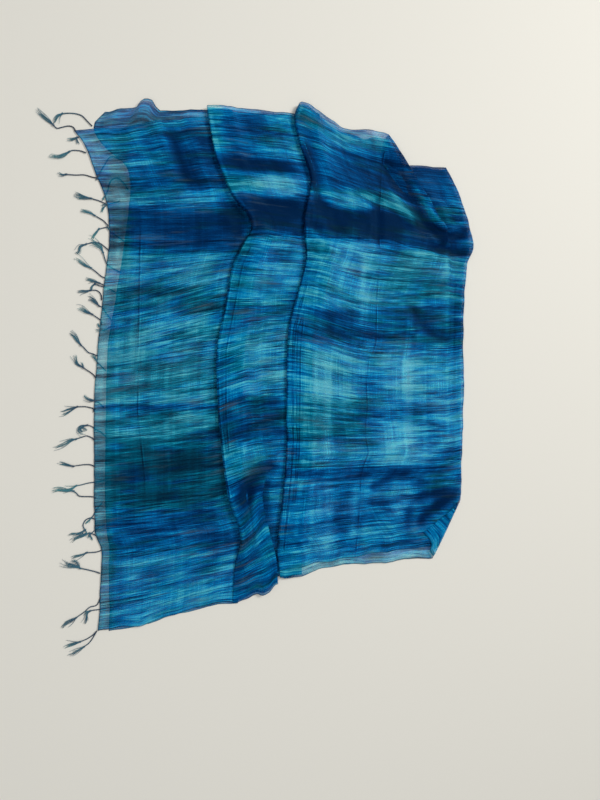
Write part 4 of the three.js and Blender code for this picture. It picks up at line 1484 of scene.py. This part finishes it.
def painted_crease_shade(start, threads):
    """Painted shade of a pressed crease: a fine dark line, a painted highlight along one side of it
    and a broad band of painted shade. Pale wefts are added as well.
    """
    uneven_strength = threads.streaks(40, 40, 91.3, 1.0).over(-0.20, 0.15) * 0.8 + 0.2
    shade = 0.0
    for label in ("press_along", "press_across"):
        distance = start.attribute(label)
        # dark: painted shadow of the crease; pale: painted highlight beside it; hollow: painted shade
        # round it
        dark = 1 - distance.size().over(0.4, PRESS_WIDE[label])
        pale = 1 - (distance - 2.6).size().over(0.3, 1.8)
        hollow = 1 - distance.size().over(0, 11)
        shade = shade + (pale * 0.12 - dark * 0.22) * uneven_strength - hollow * 0.05
    # pale wefts; the line just behind the nose of fold A is a painted highlight
    pale = 1 - start.attribute("pale_weft").size().over(1, 7)
    broken = threads.streaks(60, 30, 97.3, 1.0).over(-0.20, 0.15)
    return shade + pale * broken * 0.13


def silk_material():
    """Sheer silk. The noises take how fine they are across and along the threads, per metre."""
    material, shader, start = new_material("space_dyed_silk")
    threads = start.node("ShaderNodeUVMap", {"uv_map": "threads"})
    across = start.node("ShaderNodeSeparateXYZ", None, {0: threads})
    along = start.node("ShaderNodeSeparateXYZ", None, {0: threads}, 1)
    # deep: the dye chart, and on the upper half also painted shade in hollows and painted light on
    # ridges
    deep = start.attribute("deep")
    calm = deep.over(-0.36, -0.06) * 0.6 + 0.4  # dark dye and painted shade in hollows show fewer streaks

    # the dye ran further along some threads than along others
    ran = threads.streaks(900, 6, 83.1, 1.0) * 0.10 + threads.streaks(150, 5, 87.3, 1.0) * 0.10
    soaked = start.node("ShaderNodeCombineXYZ", None, {0: across, 1: along + ran})
    blotch = soaked.streaks(30, 11, 3.1, 1.0).over(-0.16, 0.16) - 0.5
    bundle = soaked.streaks(120, 7, 7.7, 1.0).over(-0.14, 0.14) - 0.5
    patch = soaked.streaks(60, 20, 14.3, 1.0).over(-0.12, 0.12) - 0.5
    dark_patch = soaked.streaks(44, 15, 16.9, 1.0).over(0.12, 0.17)
    pale_patch = soaked.streaks(52, 17, 18.7, 1.0).over(0.12, 0.20)
    thread = threads.streaks(460, 8, 12.9)
    hair = threads.streaks(1300, 45, 21.3, 1.0)
    grain = threads.streaks(1500, 1500, 27.3, 1.0)
    weft = threads.streaks(9, 700, 31.7, 1.0)
    weft_band = threads.streaks(4, 55, 37.1, 1.0)
    weft_block = threads.streaks(7, 75, 33.9, 1.0).over(-0.10, 0.12) - 0.5
    dark_line = threads.streaks(260, 6.5, 43.9).over(0.12, 0.20)
    fine_line = threads.streaks(380, 3.5, 45.1, 1.0).over(0.10, 0.20)
    varied = blotch * 0.20 + patch * 0.17 + bundle * 0.20 + thread * 1.05 + hair * 1.0
    varied = varied + pale_patch * 0.15 - dark_patch * 0.18 - dark_line * 0.28 - fine_line * 0.26
    open_weave = deep.over(0.05, 0.35) * 0.5 + 0.14
    shade = MIDDLE_SHADE + deep + varied * calm + grain * 0.45 + weft * open_weave + weft_band * 0.24
    shade = shade + weft_block * (open_weave * 0.16)
    shade = (shade + painted_crease_shade(start, threads)).clamp()
    blue = start.node("ShaderNodeValToRGB", {"stops": BLUES}, {"Fac": shade})
    teal = start.node("ShaderNodeValToRGB", {"stops": TEALS}, {"Fac": shade})
    hue = threads.streaks(26, 17, 47.1) * 1.6 + threads.streaks(130, 9, 51.3) * 1.8
    teal_amount = (start.attribute("green") + 0.12 + hue).over(0.0, 0.8)
    color = teal_amount.blend(blue, teal)

    # a few threads took hardly any dye and stay a brownish grey
    plain = (soaked.streaks(260, 16, 61.9) * 0.7 + soaked.streaks(26, 16, 64.1)).over(0.12, 0.26)
    color = (plain * 0.5 * calm).blend(color, UNDYED)

    # the loom's own edge is denser
    edge_left = 1 - across.over(0.0, SELVEDGE)
    edge_right = across.over(CLOTH_WIDTH - SELVEDGE, CLOTH_WIDTH)
    hem_upper = 1 - along.over(0.0, CUT_EDGE)
    hem_lower = along.over(2 * CLOTH_WIDTH - CUT_EDGE, 2 * CLOTH_WIDTH)
    edge = (edge_left + edge_right + hem_upper + hem_lower).clamp()
    color = (edge * 0.75).blend(color, DENSE)
    connect(color, shader, "Base Color")

    gaps = threads.streaks(900, 40, 71.1, 1.0) * 0.25 + weft * 0.2
    dyed = (MIDDLE_SHADE + deep + (blotch * 0.20 + patch * 0.14) * calm).clamp()
    cover = 0.76 + gaps + edge * 0.4 - dyed * 0.34 - shade * 0.18
    connect(cover.clamp(0.20, 0.96), shader, "Alpha")
    connect((0.58 + thread * 0.25).clamp(0.2, 0.85), shader, "Roughness")
    height = hair * 0.5 + thread * 0.6 + weft * 0.6
    connect(height.bump(0.25, 0.0004), shader, "Normal")
    shader.inputs["Sheen Weight"].default_value = 0.08
    shader.inputs["Sheen Roughness"].default_value = 0.4
    shader.inputs["Sheen Tint"].default_value = (0.05, 0.45, 0.80, 1)
    shader.inputs["Specular IOR Level"].default_value = 0.15
    shader.inputs["Specular Tint"].default_value = (0.05, 0.50, 0.90, 1)
    return material


silk = silk_material()
for piece in (silk_upper, silk_lower):
    piece.data.materials.append(silk)
print("Silk has", len(silk.node_tree.nodes), "nodes")

# %% [markdown]
# ## Fringe silk
#
# The tassels are the same warp threads, so they carry the same dyes. Twisted together they look
# dark, and where they are loose at the tips they look paler and greener.

# %% Fringe
TWIST = [
    (0.0, (0.002, 0.014, 0.040)),
    (0.40, (0.003, 0.042, 0.098)),
    (0.62, (0.008, 0.115, 0.180)),
    (0.85, (0.025, 0.240, 0.280)),
    (1.0, (0.110, 0.400, 0.400)),
]


def fringe_material():
    material, shader, start = new_material("twisted_silk")
    place = start.node("ShaderNodeTexCoord", None, None, 3)
    broad = place.streaks(38, 14, 5.3)
    fine = place.streaks(700, 500, 9.1)
    shade = (0.12 + start.attribute("along") * 0.62 + broad * 0.9 + fine * 0.35).clamp()
    color = start.node("ShaderNodeValToRGB", {"stops": TWIST}, {"Fac": shade})
    connect(color, shader, "Base Color")
    connect((0.5 + fine * 0.4).clamp(0.25, 0.8), shader, "Roughness")
    connect(fine.bump(0.3, 0.0003), shader, "Normal")
    shader.inputs["Sheen Weight"].default_value = 0.3
    return material


twisted = fringe_material()
for piece in (fringe_upper, fringe_lower):
    piece.data.materials.append(twisted)
print("Fringe has", len(twisted.node_tree.nodes), "nodes")

# %% [markdown]
# ## The table and the light
#
# The scarf lies on a plain white table. The light is soft and comes from above and from behind
# the scarf, so the noses of the folds catch it and cast a narrow shadow to the front.

# %% Table and light
bpy.ops.object.select_all(action="DESELECT")
bpy.ops.mesh.primitive_plane_add(size=8, location=(0, 0, 0))
table = bpy.context.object
table.name = "table"
table_material, table_shader, _ = new_material("white_table")
table_shader.inputs["Base Color"].default_value = (0.78, 0.765, 0.70, 1)
table_shader.inputs["Roughness"].default_value = 0.7
table.data.materials.append(table_material)


def area_light(name, place, size, power, color):
    """A soft square light that points at the middle of the scarf."""
    bpy.ops.object.light_add(type="AREA", location=place)
    light = bpy.context.object
    light.name = name
    light.data.size = size
    light.data.energy = power
    light.data.color = color
    direction = -Vector(place)
    light.rotation_euler = direction.to_track_quat("-Z", "Y").to_euler()


area_light("window", (-1.9, 2.7, 3.3), 1.7, 147, (1.0, 0.98, 0.95))
area_light("room", (0.6, -0.6, 2.6), 2.4, 20, (1.0, 0.99, 0.97))
world = bpy.data.worlds.new("soft_room")
bpy.context.scene.world = world
world.use_nodes = True
background = world.node_tree.nodes["Background"]
background.inputs["Color"].default_value = (0.95, 0.97, 1.0, 1)
background.inputs["Strength"].default_value = 0.29
bpy.context.scene.view_settings.view_transform = "Standard"
bpy.context.scene.cycles.transparent_max_bounces = 28
print("Table and light are set")

# %% [markdown]
# ## Tie the pieces to the frame
#
# Last, each piece is tied to the root of the frame, and the solids that the two halves and the
# fringes stand for are hidden.

# %% Tie the pieces to the frame
for piece in (silk_upper, silk_lower, fringe_upper, fringe_lower):
    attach(piece, "root")
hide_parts("silk_front_stretch", "silk_turned_corner")
for stretch_name in ("silk_middle", "silk_back"):
    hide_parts(stretch_name + "_left", stretch_name + "_right")
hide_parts("silk_under_half")
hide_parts("fringe_upper_end")
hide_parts("fringe_under_end")
